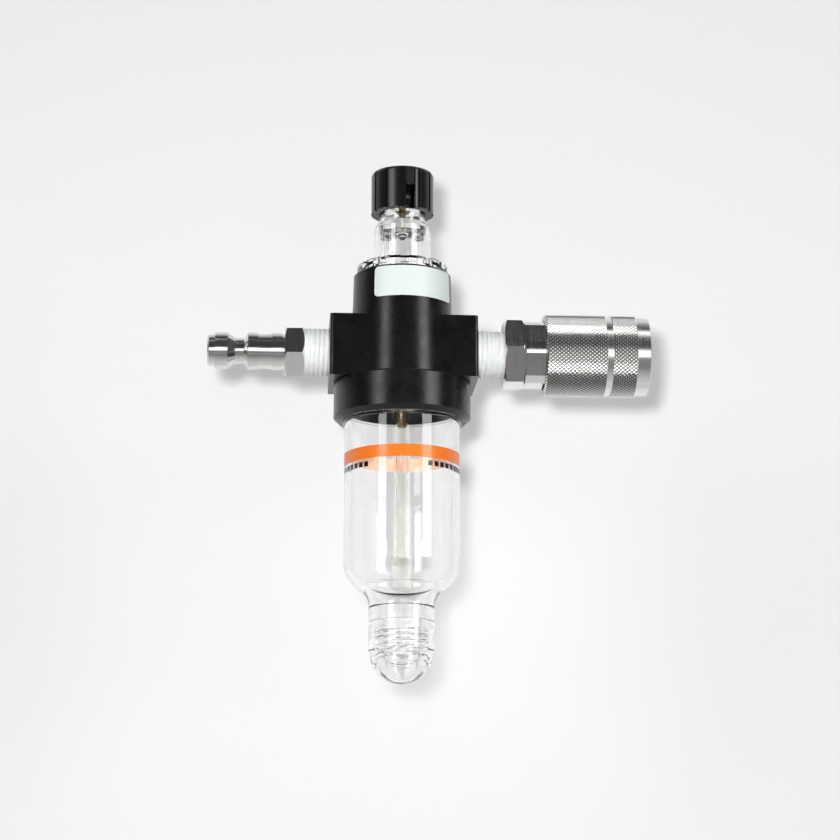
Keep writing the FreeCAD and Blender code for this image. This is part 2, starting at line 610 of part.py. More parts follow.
def squeezed_ring(inner, outer, bottom, top):
    """Rubber ring flattened by its groove, with its four edges still round."""
    middle = (inner + outer) / 2
    level = (bottom + top) / 2
    wide = (outer - inner) / 4
    tall = (top - bottom) / 4
    return turned_upright([
        (inner, level - tall), (inner, level + tall), (middle - wide, top), (middle + wide, top),
        (outer, level + tall), (outer, level - tall), (middle + wide, bottom), (middle - wide, bottom)])


def sight_dome_o_ring():
    """Ring seal squeezed under the dome's flange."""
    inner = TOWER_BORE_RADIUS + SEAT
    outer = TOWER_BORE_RADIUS + RING_SEAT_WIDTH - SEAT
    bottom = TOWER_TOP - RING_SEAT_DEPTH + SEAT
    return squeezed_ring(inner, outer, bottom, TOWER_TOP - SEAT)


def drip_nozzle():
    """Clear insert with the needle's seat, the drip tip and two feet."""
    disc_top = DOME_ROOF - SEAT
    tip = disc_top - NOZZLE_TIP_DROP
    plug = DOME_NECK_BORE_RADIUS - SEAT
    plug_top = DOME_WEB_BOTTOM - SEAT
    insert = turned_upright([
        (NOZZLE_ORIFICE_RADIUS, tip),
        (NOZZLE_TIP_RADIUS, tip),
        (NOZZLE_ROOT_RADIUS, NOZZLE_DISC_BOTTOM),
        (NOZZLE_DISC_RADIUS, NOZZLE_DISC_BOTTOM),
        (NOZZLE_DISC_RADIUS, disc_top),
        (plug, disc_top),
        (plug, plug_top),
        (NOZZLE_WELL_RADIUS, plug_top),
        (NOZZLE_WELL_RADIUS, NOZZLE_SEAT_TOP),
        (NOZZLE_SEAT_RADIUS, NOZZLE_SEAT_TOP),
        (NOZZLE_ORIFICE_RADIUS, NOZZLE_SEAT_LEVEL)])
    for side in (-1, 1):
        x = AXIS_X + side * NOZZLE_FOOT_OFFSET
        insert = insert.fuse(rod_upright(NOZZLE_FOOT_RADIUS, NOZZLE_FOOT_END, disc_top, x))
    riser_x = AXIS_X - NOZZLE_FOOT_OFFSET
    socket = rod_upright(RISER_RADIUS + SEAT, NOZZLE_FOOT_END - OVERSHOOT, RISER_TOP, riser_x)
    rise = rod_upright(RISER_BORE_RADIUS, NOZZLE_DISC_BOTTOM, NOZZLE_GALLERY_LEVEL, riser_x)
    gallery = Part.makeCylinder(
        RISER_BORE_RADIUS, NOZZLE_FOOT_OFFSET, Vector(riser_x, 0, NOZZLE_GALLERY_LEVEL), Vector(1, 0, 0))
    return insert.cut(socket).cut(rise).cut(gallery)


def oil_riser_tube():
    """Thin clear tube that brings oil from the casting to the nozzle."""
    x = AXIS_X - NOZZLE_FOOT_OFFSET
    bottom = OIL_DUCT_TOP + OIL_DUCT_RADIUS + SEAT
    top = RISER_TOP - SEAT
    tube = rod_upright(RISER_RADIUS, bottom, top, x)
    return tube.cut(rod_upright(RISER_BORE_RADIUS, bottom - OVERSHOOT, top + OVERSHOOT, x))


def metering_screw():
    """Brass needle screw with a hexagon drive that slides in the knob."""
    collar_bottom = DOME_WEB_BOTTOM + SEAT
    gland_bottom = DOME_WEB_BOTTOM + SCREW_COLLAR_LENGTH
    needle_tip = NOZZLE_SEAT_LEVEL + SCREW_TIP_GAP
    body = turned_upright([
        (0, needle_tip),
        (SCREW_TIP_RADIUS, needle_tip),
        (SCREW_NEEDLE_RADIUS, needle_tip + SCREW_CONE_LENGTH),
        (SCREW_NEEDLE_RADIUS, collar_bottom),
        (SCREW_RADIUS, collar_bottom),
        (SCREW_RADIUS, gland_bottom),
        (SCREW_STEM_RADIUS, gland_bottom),
        (SCREW_STEM_RADIUS, SCREW_GLAND_TOP),
        (SCREW_RADIUS, SCREW_GLAND_TOP),
        (SCREW_RADIUS, SCREW_THREAD_TOP),
        (0, SCREW_THREAD_TOP)])
    return body.fuse(hexagonal_post(SCREW_DRIVE_FLATS, SCREW_GLAND_TOP, SCREW_DRIVE_TOP))


def screw_o_ring():
    """Ring seal in the metering screw's gland."""
    bottom = DOME_WEB_BOTTOM + SCREW_COLLAR_LENGTH + SEAT
    return squeezed_ring(SCREW_STEM_RADIUS + SEAT, SCREW_RADIUS, bottom, SCREW_GLAND_TOP - SEAT)


def knob_window():
    """Shallow panel down one lobe, with an open slot under it."""
    left = AXIS_X - KNOB_WINDOW_WIDTH / 2
    foot = KNOB_FOOT - OVERSHOOT
    front = -KNOB_RADIUS - OVERSHOOT
    panel = Part.makeBox(
        KNOB_WINDOW_WIDTH, OVERSHOOT + KNOB_PANEL_DEPTH, KNOB_HEIGHT + 2 * OVERSHOOT,
        Vector(left, front, foot))
    slot = Part.makeBox(
        KNOB_WINDOW_WIDTH, 2 * OVERSHOOT + KNOB_RADIUS - KNOB_LIP_RADIUS, KNOB_WINDOW_HEIGHT + OVERSHOOT,
        Vector(left, front, foot))
    return about_bowl(panel.fuse(slot), KNOB_WINDOW_ANGLE)


def adjusting_knob():
    """Ribbed knob that snaps under the neck's bead and drives the screw."""
    edge = KNOB_TOP_EDGE
    lip_top = KNOB_FOOT + KNOB_LIP_HEIGHT
    hub_foot = DOME_NECK_TOP + LOOSE
    knob = turned_upright([
        (KNOB_LIP_RADIUS, KNOB_FOOT),
        (KNOB_RADIUS, KNOB_FOOT),
        (KNOB_RADIUS, KNOB_TOP - edge),
        (KNOB_RADIUS - edge / 3, KNOB_TOP - edge / 3),
        (KNOB_RADIUS - edge, KNOB_TOP),
        (0, KNOB_TOP),
        (0, hub_foot),
        (KNOB_HUB_RADIUS, hub_foot),
        (KNOB_HUB_RADIUS, KNOB_ROOF),
        (KNOB_BORE_RADIUS, KNOB_ROOF),
        (KNOB_BORE_RADIUS, lip_top + KNOB_LIP_SLOPE),
        (KNOB_LIP_RADIUS, lip_top)])
    groove = Part.makeBox(
        KNOB_GROOVE_WIDTH, 2 * KNOB_GROOVE_DEPTH, KNOB_HEIGHT + 2 * OVERSHOOT,
        Vector(AXIS_X - KNOB_GROOVE_WIDTH / 2, -KNOB_RADIUS - KNOB_GROOVE_DEPTH, KNOB_FOOT - OVERSHOOT))
    step = 360 / KNOB_LOBES
    for index in range(KNOB_LOBES):
        knob = knob.cut(about_bowl(groove, KNOB_WINDOW_ANGLE + (index + 0.5) * step))
    socket_top = SCREW_DRIVE_TOP + SCREW_LIFT + LOOSE
    socket = hexagonal_post(SCREW_DRIVE_FLATS + 2 * SLIP, hub_foot - OVERSHOOT, socket_top)
    return knob.cut(socket).cut(knob_window())


def tower_radius(level):
    share = (TOWER_TOP - TOWER_RIM_ROUND - level) / (TOWER_TOP - TOWER_RIM_ROUND - SKIRT_TOP)
    return TOWER_TOP_RADIUS + share * (TOWER_FOOT_RADIUS - TOWER_TOP_RADIUS)


def label_plate():
    """Blank sticker bent round the tower, with its corners rounded."""
    low = tower_radius(LABEL_BOTTOM) + SEAT
    high = tower_radius(LABEL_TOP) + SEAT
    face = outline_face(
        [(low, LABEL_BOTTOM), (low + LABEL_THICKNESS, LABEL_BOTTOM),
         (high + LABEL_THICKNESS, LABEL_TOP), (high, LABEL_TOP)],
        lambda radius, level: Vector(AXIS_X, -radius, level))
    label = face.revolve(Vector(AXIS_X, 0, 0), Vector(0, 0, 1), LABEL_END - LABEL_START)
    label = about_bowl(label, LABEL_START)
    size = LABEL_CORNER
    turn = math.degrees(size / low)
    for angle in (LABEL_START + turn, LABEL_END - turn):
        outwards = -1 if angle < (LABEL_START + LABEL_END) / 2 else 1
        for level, upwards in ((LABEL_BOTTOM + size, -1), (LABEL_TOP - size, 1)):
            block = Part.makeBox(
                size + OVERSHOOT, low + OVERSHOOT, size + OVERSHOOT,
                Vector(AXIS_X, -low - OVERSHOOT, level))
            if outwards < 0:
                block.translate(Vector(-size - OVERSHOOT, 0, 0))
            if upwards < 0:
                block.translate(Vector(0, 0, -size - OVERSHOOT))
            keep = Part.makeCylinder(
                size, low + OVERSHOOT, Vector(AXIS_X, -low - OVERSHOOT, level), Vector(0, 1, 0))
            label = label.cut(about_bowl(block.cut(keep), angle))
    return label


def siphon_adapter():
    """Brass hexagon fitting that carries the siphon tube and the check ball."""
    face = SIPHON_BOSS_FACE
    flange_top = face - SEAT
    flange_end = flange_top - SIPHON_FLANGE_THICKNESS
    barb_end = flange_end - SIPHON_BARB_LENGTH
    ball_seat = face - BALL_SEAT_DROP
    stem_top = face + SIPHON_THREAD_LENGTH
    stem = turned_upright([
        (0, barb_end),
        (SIPHON_BARB_RADIUS - SIPHON_BARB_TAPER, barb_end),
        (SIPHON_BARB_RADIUS, barb_end + SIPHON_BARB_TAPER_LENGTH),
        (SIPHON_BARB_RADIUS, flange_top),
        (SIPHON_THREAD_RADIUS, flange_top),
        (SIPHON_THREAD_RADIUS, stem_top),
        (0, stem_top)])
    passage = turned_upright([
        (0, barb_end - OVERSHOOT),
        (SIPHON_OIL_HOLE_RADIUS, barb_end - OVERSHOOT),
        (SIPHON_OIL_HOLE_RADIUS, ball_seat - BALL_SEAT_DEPTH),
        (BALL_CHAMBER_RADIUS, ball_seat),
        (BALL_CHAMBER_RADIUS, stem_top + OVERSHOOT),
        (0, stem_top + OVERSHOOT)])
    flange = hexagonal_post(SIPHON_FLANGE_FLATS, flange_end, flange_top)
    return flange.fuse(stem).cut(passage)


def check_ball_level():
    """Height of the ball's centre when it rests on the cone of its seat."""
    seat_foot = SIPHON_BOSS_FACE - BALL_SEAT_DROP - BALL_SEAT_DEPTH
    run = BALL_CHAMBER_RADIUS - SIPHON_OIL_HOLE_RADIUS
    slope_length = math.hypot(BALL_SEAT_DEPTH, run)
    apex = seat_foot - SIPHON_OIL_HOLE_RADIUS * BALL_SEAT_DEPTH / run
    return apex + (CHECK_BALL_RADIUS + SLIP) * slope_length / run


def check_ball():
    """Steel ball that holds up the oil column."""
    return Part.makeSphere(CHECK_BALL_RADIUS, Vector(AXIS_X, 0, check_ball_level()))


def ball_retainer():
    """Pressed collar above the ball with a slotted hole for the oil."""
    bottom = check_ball_level() + CHECK_BALL_RADIUS + CHECK_BALL_TRAVEL + SLIP
    top = bottom + BALL_RETAINER_THICKNESS
    collar = rod_upright(BALL_CHAMBER_RADIUS - SEAT, bottom, top)
    hole = rod_upright(SIPHON_OIL_HOLE_RADIUS, bottom - OVERSHOOT, top + OVERSHOOT)
    slot_reach = BALL_CHAMBER_RADIUS - RETAINER_RIM
    slot = Part.makeBox(
        2 * slot_reach, RETAINER_SLOT_WIDTH, BALL_RETAINER_THICKNESS + 2 * OVERSHOOT,
        Vector(AXIS_X - slot_reach, -RETAINER_SLOT_WIDTH / 2, bottom - OVERSHOOT))
    return collar.cut(hole).cut(slot)


def siphon_tube_top():
    return SIPHON_BOSS_FACE - 2 * SEAT - SIPHON_FLANGE_THICKNESS


def siphon_tube():
    """Translucent tube that reaches down into the oil."""
    top = siphon_tube_top()
    bottom = top - SIPHON_TUBE_LENGTH
    bore = rod_upright(SIPHON_BARB_RADIUS + SEAT, bottom - OVERSHOOT, top + OVERSHOOT)
    return rod_upright(SIPHON_TUBE_RADIUS, bottom, top).cut(bore)


def siphon_filter():
    """Porous strainer pushed over the tube's foot."""
    tube_end = siphon_tube_top() - SIPHON_TUBE_LENGTH
    top = tube_end + FILTER_SOCKET_DEPTH
    bottom = tube_end - FILTER_LENGTH
    return turned_upright([
        (0, bottom),
        (FILTER_RADIUS - FILTER_EDGE, bottom),
        (FILTER_RADIUS, bottom + FILTER_EDGE),
        (FILTER_RADIUS, top),
        (SIPHON_TUBE_RADIUS + SEAT, top),
        (SIPHON_TUBE_RADIUS + SEAT, tube_end - SEAT),
        (SIPHON_BARB_RADIUS, tube_end - SEAT),
        (SIPHON_BARB_RADIUS, bottom + FILTER_FLOOR),
        (0, bottom + FILTER_FLOOR)])


def bowl():
    """Clear bowl with a threaded rim and a closed boss that holds a stepped well."""
    inner = BOWL_RADIUS - BOWL_WALL
    thread = BOWL_THREAD_RADIUS
    turn = math.radians(SHOULDER_ANGLE)
    bend_x = BOWL_RADIUS - SHOULDER_BEND
    back_bend = (bend_x + SHOULDER_BEND * math.cos(turn) - BOSS_RADIUS) / (1 - math.cos(turn))
    centre_gap = SHOULDER_BEND + back_bend
    back_x = bend_x + centre_gap * math.cos(turn)
    back_level = BOWL_SIDE_END - centre_gap * math.sin(turn)

    def on_shoulder(radius, angle):
        return (bend_x + radius * math.cos(angle), BOWL_SIDE_END - radius * math.sin(angle))

    def on_back_bend(radius, angle):
        return (back_x - radius * math.cos(angle), back_level + radius * math.sin(angle))

    inner_bend = SHOULDER_BEND - BOWL_WALL
    inner_back = back_bend + BOWL_WALL
    half_right = math.sqrt(0.5)
    return turned_upright([
        (inner, BOWL_RIM),
        (thread, BOWL_RIM),
        (thread, BOWL_GROOVE_TOP),
        (BOWL_GROOVE_RADIUS, BOWL_GROOVE_TOP),
        (BOWL_GROOVE_RADIUS, BOWL_GROOVE_BOTTOM),
        (thread, BOWL_GROOVE_BOTTOM),
        (thread, BOWL_THREAD_BOTTOM),
        (BOWL_RADIUS, BOWL_THREAD_BOTTOM),
        (BOWL_RADIUS, BOWL_SIDE_END),
        (on_shoulder(SHOULDER_BEND, turn / 2), on_shoulder(SHOULDER_BEND, turn)),
        (on_back_bend(back_bend, turn / 2), on_back_bend(back_bend, 0)),
        (BOSS_RADIUS, BOSS_DOME_LEVEL + BOSS_RADIUS - BOSS_DOME_RADIUS),
        (BOSS_DOME_RADIUS, BOSS_DOME_LEVEL),
        ((BOSS_DOME_RADIUS * half_right, BOSS_DOME_LEVEL - BOSS_DOME_RADIUS * half_right),
         (0, BOSS_DOME_LEVEL - BOSS_DOME_RADIUS)),
        (0, WELL_THREAD_END - WELL_DOME_RADIUS),
        ((WELL_DOME_RADIUS * half_right, WELL_THREAD_END - WELL_DOME_RADIUS * half_right),
         (WELL_DOME_RADIUS, WELL_THREAD_END)),
        (WELL_THREAD_RADIUS, WELL_THREAD_END),
        (WELL_THREAD_RADIUS, WELL_STEP_LEVEL),
        (WELL_LEDGE_RADIUS, WELL_STEP_LEVEL),
        (WELL_LEDGE_RADIUS, WELL_LEDGE_LEVEL),
        (BOSS_RADIUS - BOWL_WALL, WELL_LEDGE_LEVEL),
        on_back_bend(inner_back, 0),
        (on_back_bend(inner_back, turn / 2), on_back_bend(inner_back, turn)),
        (on_shoulder(inner_bend, turn / 2), (inner, BOWL_SIDE_END))])


def bowl_o_ring():
    """Ring seal in the groove round the bowl's rim."""
    return squeezed_ring(
        BOWL_GROOVE_RADIUS + SEAT, BOWL_THREAD_RADIUS,
        BOWL_GROOVE_BOTTOM + SEAT, BOWL_GROOVE_TOP - SEAT)


def coupler_body():
    """Coupler barrel with its pipe thread, hexagon, valve chamber and ball holes."""
    groove_depth = STOP_RING_GROOVE_DEPTH
    barrel = turned_along_air([
        (OUTLET_FACE - THREAD_ENGAGED, COUPLER_PASSAGE_RADIUS),
        (OUTLET_FACE - THREAD_ENGAGED, THREAD_RADIUS),
        (COUPLER_HEX_START, THREAD_RADIUS),
        (COUPLER_HEX_START, COUPLER_NOSE_RADIUS),
        (STOP_RING_BACK - SEAT, COUPLER_NOSE_RADIUS),
        (STOP_RING_BACK - SEAT, COUPLER_NOSE_RADIUS - groove_depth),
        (STOP_RING_FRONT + SEAT, COUPLER_NOSE_RADIUS - groove_depth),
        (STOP_RING_FRONT + SEAT, COUPLER_NOSE_RADIUS),
        (SOCKET_MOUTH, COUPLER_NOSE_RADIUS),
        (SOCKET_MOUTH, SOCKET_RADIUS + SOCKET_LEAD_IN),
        (SOCKET_MOUTH - SOCKET_LEAD_IN, SOCKET_RADIUS),
        (GUIDE_BACK, SOCKET_RADIUS),
        (GUIDE_BACK, SOCKET_RADIUS + SOCKET_RELIEF),
        (SEAL_FRONT + SEAT, SOCKET_RADIUS + SOCKET_RELIEF),
        (SEAL_FRONT + SEAT, SEAL_GROOVE_RADIUS),
        (SEAL_BACK - SEAT, SEAL_GROOVE_RADIUS),
        (SEAL_BACK - SEAT, CHAMBER_RADIUS),
        (CHAMBER_BACK, CHAMBER_RADIUS),
        (CHAMBER_BACK, COUPLER_PASSAGE_RADIUS)])
    hexagon = spanner_hexagon(
        COUPLER_HEX_FLATS, COUPLER_HEX_START, COUPLER_HEX_END, COUPLER_HEX_TURN)
    turned = hexagonal_bar(
        COUPLER_HEX_FLATS, COUPLER_HEX_START, COUPLER_SHOULDER, COUPLER_HEX_TURN)
    turned = turned.common(rod_along_air(COUPLER_TURNED_RADIUS, COUPLER_HEX_END, COUPLER_SHOULDER))
    bar = hexagon.fuse(turned)
    bar = bar.cut(rod_along_air(
        COUPLER_NOSE_RADIUS - SLIP, COUPLER_HEX_START - OVERSHOOT, COUPLER_SHOULDER + OVERSHOOT))
    body = barrel.fuse(bar)
    hole = Part.makeCylinder(
        BALL_RADIUS + SLIP, COUPLER_NOSE_RADIUS, Vector(BALL_X, 0, BALL_REST_RADIUS), Vector(0, 0, 1))
    cup = Part.makeSphere(BALL_RADIUS + SLIP, Vector(BALL_X, 0, BALL_REST_RADIUS))
    pocket = hole.fuse(cup)
    for index in range(BALL_COUNT):
        body = body.cut(about_air(pocket, ball_angle(index)))
    return body


def ball_angle(index):
    return 45 + index * 360 / BALL_COUNT


def lock_ball(index):
    """One of the balls that drop into a mating plug's groove."""
    ball = Part.makeSphere(BALL_RADIUS, Vector(BALL_X, 0, BALL_REST_RADIUS))
    return about_air(ball, ball_angle(index))


def coupler_sleeve():
    """Sliding sleeve whose inner ramp holds the balls in or lets them out."""
    edge = SLEEVE_EDGE
    return turned_along_air([
        (SLEEVE_BACK, SLEEVE_BORE_RADIUS),
        (SLEEVE_BACK, SLEEVE_RADIUS - edge),
        (SLEEVE_BACK + edge, SLEEVE_RADIUS),
        (SLEEVE_BAND_END, SLEEVE_RADIUS),
        (SLEEVE_BAND_END, SLEEVE_GROOVE_RADIUS),
        (SLEEVE_GROOVE_END, SLEEVE_GROOVE_RADIUS),
        (SLEEVE_GROOVE_END, SLEEVE_RADIUS),
        (SLEEVE_LIP_START, SLEEVE_RADIUS),
        (SLEEVE_LIP_START + edge, SLEEVE_LIP_RADIUS),
        (SLEEVE_FRONT - edge, SLEEVE_LIP_RADIUS),
        (SLEEVE_FRONT, SLEEVE_LIP_RADIUS - edge),
        (SLEEVE_FRONT, SLEEVE_BORE_RADIUS),
        (RAMP_END, SLEEVE_BORE_RADIUS),
        (RAMP_END, SLEEVE_RAMP_TOP_RADIUS),
        (RAMP_START, LAND_RADIUS),
        (LAND_BACK, LAND_RADIUS),
        (LAND_BACK, SLEEVE_BORE_RADIUS)])


def sleeve_retaining_ring():
    """Split stop ring in the barrel's front groove."""
    outer = SLEEVE_BORE_RADIUS - LOOSE
    start = STOP_RING_BACK - OVERSHOOT
    end = STOP_RING_FRONT + OVERSHOOT
    ring = rod_along_air(outer, STOP_RING_BACK, STOP_RING_FRONT).cut(rod_along_air(STOP_RING_BORE, start, end))
    gap = Part.makeBox(
        end - start, 2 * STOP_RING_THICKNESS, outer + OVERSHOOT, Vector(start, -STOP_RING_THICKNESS, 0))
    return ring.cut(gap)


def coil_spring(start, end, mean_radius, wire, turns):
    """Round coil of a square wire that fills the length from start to end."""
    half = wire / 2
    inner = mean_radius - half
    outer = mean_radius + half
    pitch = (end - start - wire) / turns
    helix = Part.makeHelix(pitch, end - start - wire, mean_radius)
    section = Part.makePolygon([
        Vector(inner, 0, -half), Vector(outer, 0, -half), Vector(outer, 0, half),
        Vector(inner, 0, half), Vector(inner, 0, -half)])
    coil = Part.Wire(helix.Edges).makePipeShell([section], True, True)
    coil.rotate(Vector(0, 0, 0), Vector(0, 1, 0), 90)
    coil.translate(Vector(start + half, 0, 0))
    return coil


def sleeve_spring():
    """Spring round the barrel that pushes the sleeve forward."""
    mean = (COUPLER_NOSE_RADIUS + SLEEVE_BORE_RADIUS) / 2
    return coil_spring(
        COUPLER_SHOULDER + SEAT, LAND_BACK - SEAT, mean, SLEEVE_SPRING_WIRE, SLEEVE_SPRING_TURNS)


def valve_spring():
    """Spring behind the poppet that shuts the outlet."""
    end = SEAL_BACK - SEAT - POPPET_HEAD_LENGTH - SEAT
    return coil_spring(
        CHAMBER_BACK + SEAT, end, VALVE_SPRING_RADIUS, VALVE_SPRING_WIRE, VALVE_SPRING_TURNS)


def valve_poppet():
    """Poppet with three guide flats and a slotted stem that the plug pushes."""
    front = SEAL_BACK - SEAT
    back = front - POPPET_HEAD_LENGTH
    stem_end = SEAL_FRONT + POPPET_STEM_BEYOND_SEAL
    head = CHAMBER_RADIUS - POPPET_HEAD_GAP
    stem = POPPET_STEM_RADIUS
    poppet = turned_along_air([
        (back, 0), (back, head), (front, head),
        (front, stem), (stem_end - POPPET_STEM_EDGE, stem),
        (stem_end, stem - POPPET_STEM_EDGE), (stem_end, 0)])
    slot_start = front + POPPET_SLOT_START
    for angle in (0, 90):
        slot = Part.makeBox(
            stem_end - slot_start + OVERSHOOT, POPPET_SLOT_WIDTH, 2 * (stem + OVERSHOOT),
            Vector(slot_start, -POPPET_SLOT_WIDTH / 2, -stem - OVERSHOOT))
        poppet = poppet.cut(about_air(slot, angle))
    for angle in (0, 120, 240):
        flat = Part.makeBox(
            POPPET_HEAD_LENGTH, 2 * head, head,
            Vector(back - POPPET_SEAT_LAND, -head, POPPET_GUIDE_FLAT))
        poppet = poppet.cut(about_air(flat, angle))
    return poppet


def socket_seal():
    """Rubber ring in the barrel that seals round a mating plug's nose."""
    chamfer = SEAL_LIP_CHAMFER
    return turned_along_air([
        (SEAL_BACK, SEAL_LIP_RADIUS + chamfer),
        (SEAL_BACK, SEAL_GROOVE_RADIUS - SLIP),
        (SEAL_FRONT, SEAL_GROOVE_RADIUS - SLIP),
        (SEAL_FRONT, SEAL_LIP_RADIUS + chamfer),
        (SEAL_FRONT - chamfer, SEAL_LIP_RADIUS),
        (SEAL_BACK + chamfer, SEAL_LIP_RADIUS)])


pieces = {
    "inlet_plug": inlet_plug(),
    "inlet_thread_tape": thread_tape(PLUG_HEX_END, INLET_FACE),
    "body_casting": body_casting(),
    "venturi_insert": venturi_insert(),
    "sight_dome": sight_dome(),
    "sight_dome_o_ring": sight_dome_o_ring(),
    "drip_nozzle": drip_nozzle(),
    "oil_riser_tube": oil_riser_tube(),
    "metering_screw": metering_screw(),
    "screw_o_ring": screw_o_ring(),
    "adjusting_knob": adjusting_knob(),
    "label_plate": label_plate(),
    "siphon_adapter": siphon_adapter(),
    "check_ball": check_ball(),
    "ball_retainer": ball_retainer(),
    "siphon_tube": siphon_tube(),
    "siphon_filter": siphon_filter(),
    "bowl": bowl(),
    "bowl_o_ring": bowl_o_ring(),
    "outlet_thread_tape": thread_tape(OUTLET_FACE, COUPLER_HEX_START),
    "coupler_body": coupler_body(),
    "socket_seal": socket_seal(),
    "valve_poppet": valve_poppet(),
    "valve_spring": valve_spring(),
    "coupler_sleeve": coupler_sleeve(),
    "sleeve_spring": sleeve_spring(),
    "sleeve_retaining_ring": sleeve_retaining_ring(),
}
for index in range(BALL_COUNT):
    pieces["lock_ball_%d" % (index + 1)] = lock_ball(index)

os.makedirs("parts", exist_ok=True)
for name, shape in pieces.items():
    shape.exportStep("parts/%s.step" % name)
    box = shape.BoundBox
    print("%-24s solids %d valid %s volume %.1f  x %.2f..%.2f  y %.2f..%.2f  z %.2f..%.2f" % (
        name, len(shape.Solids), shape.isValid(), shape.Volume,
        box.XMin, box.XMax, box.YMin, box.YMax, box.ZMin, box.ZMax))
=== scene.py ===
# %% [markdown]
# # An inline air oiler
# This small lubricator hangs in a compressed air hose. Air enters the plug on
# the left, picks up drops of oil under the clear dome and leaves through the
# quick coupler on the right. The lesson loads the exact model as a fixed frame,
# gives every part a finish, and rebuilds the parts whose surface a plain solid
# can't show: the knurled sleeve, the clear bowl with its threaded well and its
# printed marks, the wound sealing tape and the two springs.

# %% Load the frame
import math

import bmesh
import bpy
from mathutils import Matrix, Vector, noise


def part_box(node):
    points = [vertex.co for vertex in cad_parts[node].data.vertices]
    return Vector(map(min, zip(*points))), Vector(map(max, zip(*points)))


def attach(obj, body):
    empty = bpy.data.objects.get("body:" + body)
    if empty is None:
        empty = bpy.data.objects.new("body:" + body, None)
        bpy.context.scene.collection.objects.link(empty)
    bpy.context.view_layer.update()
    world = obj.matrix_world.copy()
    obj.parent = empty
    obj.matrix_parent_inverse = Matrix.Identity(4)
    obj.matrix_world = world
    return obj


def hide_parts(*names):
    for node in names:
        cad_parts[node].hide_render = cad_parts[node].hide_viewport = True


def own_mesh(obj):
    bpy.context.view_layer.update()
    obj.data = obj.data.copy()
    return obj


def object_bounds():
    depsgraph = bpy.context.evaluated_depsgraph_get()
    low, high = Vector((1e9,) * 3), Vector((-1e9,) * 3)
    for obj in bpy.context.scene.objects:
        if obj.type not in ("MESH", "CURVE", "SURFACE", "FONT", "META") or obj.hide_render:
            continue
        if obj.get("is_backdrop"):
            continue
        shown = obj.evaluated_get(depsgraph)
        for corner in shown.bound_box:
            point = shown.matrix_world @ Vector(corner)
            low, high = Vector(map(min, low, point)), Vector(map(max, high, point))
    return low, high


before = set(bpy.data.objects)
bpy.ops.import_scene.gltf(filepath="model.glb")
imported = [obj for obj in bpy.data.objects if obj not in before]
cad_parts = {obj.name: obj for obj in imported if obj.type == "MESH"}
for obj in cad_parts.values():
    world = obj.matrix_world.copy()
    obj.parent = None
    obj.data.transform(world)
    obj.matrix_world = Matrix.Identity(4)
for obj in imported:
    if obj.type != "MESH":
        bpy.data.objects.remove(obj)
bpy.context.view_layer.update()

MM = 0.001
AXIS_X = 56.0      # the bowl's upright axis stands here on the air line, in mm


# %% [markdown]
# ## The camera
# The picture was taken from slightly below with a long lens, which keeps the
# bowl's edges nearly parallel. A camera is fully described by where it stands,
# what it looks at and its lens, so it is set from those three facts.

# %% Place the camera
camera = bpy.data.objects.new("camera", bpy.data.cameras.new("camera"))
bpy.context.scene.collection.objects.link(camera)
camera.data.sensor_width = 36.0
camera.data.lens = 100.8
camera.location = Vector((17.03, -683.12, -180.08)) * MM
looks_at = Vector((61.36, -0.31, -20.50)) * MM
camera.rotation_euler = (looks_at - camera.location).to_track_quat("-Z", "Y").to_euler()
camera.data.dof.use_dof = False
bpy.context.scene.camera = camera
print("camera is", round((looks_at - camera.location).length, 3), "m away")


# %% [markdown]
# ## Colours and nodes
# Colours are written the way a paint chart gives them, as sRGB hex values, and
# one function turns them to the linear light that the renderer adds up. A
# second function adds a shader node, sets it and links it in one line.

# %% Two small helpers
def colour(code):
    """Linear RGBA of an sRGB hex colour."""
    parts = [int(code[i:i + 2], 16) / 255 for i in (0, 2, 4)]
    linear = [p / 12.92 if p <= 0.04045 else ((p + 0.055) / 1.055) ** 2.4 for p in parts]
    return (*linear, 1.0)


def add(tree, kind, inputs=None, **settings):
    """Add one shader node, set it, fill its sockets and link what is a socket."""
    node = tree.nodes.new("ShaderNode" + kind)
    for name, value in settings.items():
        setattr(node, name, value)
    for name, value in (inputs or {}).items():
        if isinstance(value, bpy.types.NodeSocket):
            tree.links.new(value, node.inputs[name])
        else:
            node.inputs[name].default_value = value
    return node


print("sRGB 808080 is", round(colour("808080")[0], 3), "in linear light")


# %% [markdown]
# ## Studio
# The object hangs in front of a pale paper wall, over a pale floor. Two soft
# boxes stand to the left and right of the camera and give the two upright bands
# of light on the round bowl. A panel in front puts one bright line on every
# turned cylinder that lies along the air line, and the room above it is dark,
# which is what makes polished metal look like metal. White paper could be lit
# until it is white, but that would bleach the object too, so the paper also
# glows by itself, and the floor most.

# %% World and paper
PAPER = "F5F5F5"
PAPER_BEHIND = 150.0     # mm from the air line to the wall
FLOOR_BELOW = -300.0     # mm from the air line to the floor
SHEET = 4000.0           # mm, each sheet's side
MIRROR_NEAR_Y = -0.30    # metres; the paper's share in mirrors changes between these two depths
MIRROR_FAR_Y = 0.02
FRONT_ROOM = 0.05        # how bright the room looks in mirrors, in front of the object
BACK_ROOM = 0.9          # and behind it
GROUND_ROOM = 0.16       # more of it from below
MATTE_ROOM = 0.12        # what it gives to surfaces that don't mirror
AIM = Vector((AXIS_X, 0, -20)) * MM
QUARTER_TURN = Matrix.Rotation(math.radians(90), 4, "X")

bpy.context.scene.view_settings.view_transform = "Standard"

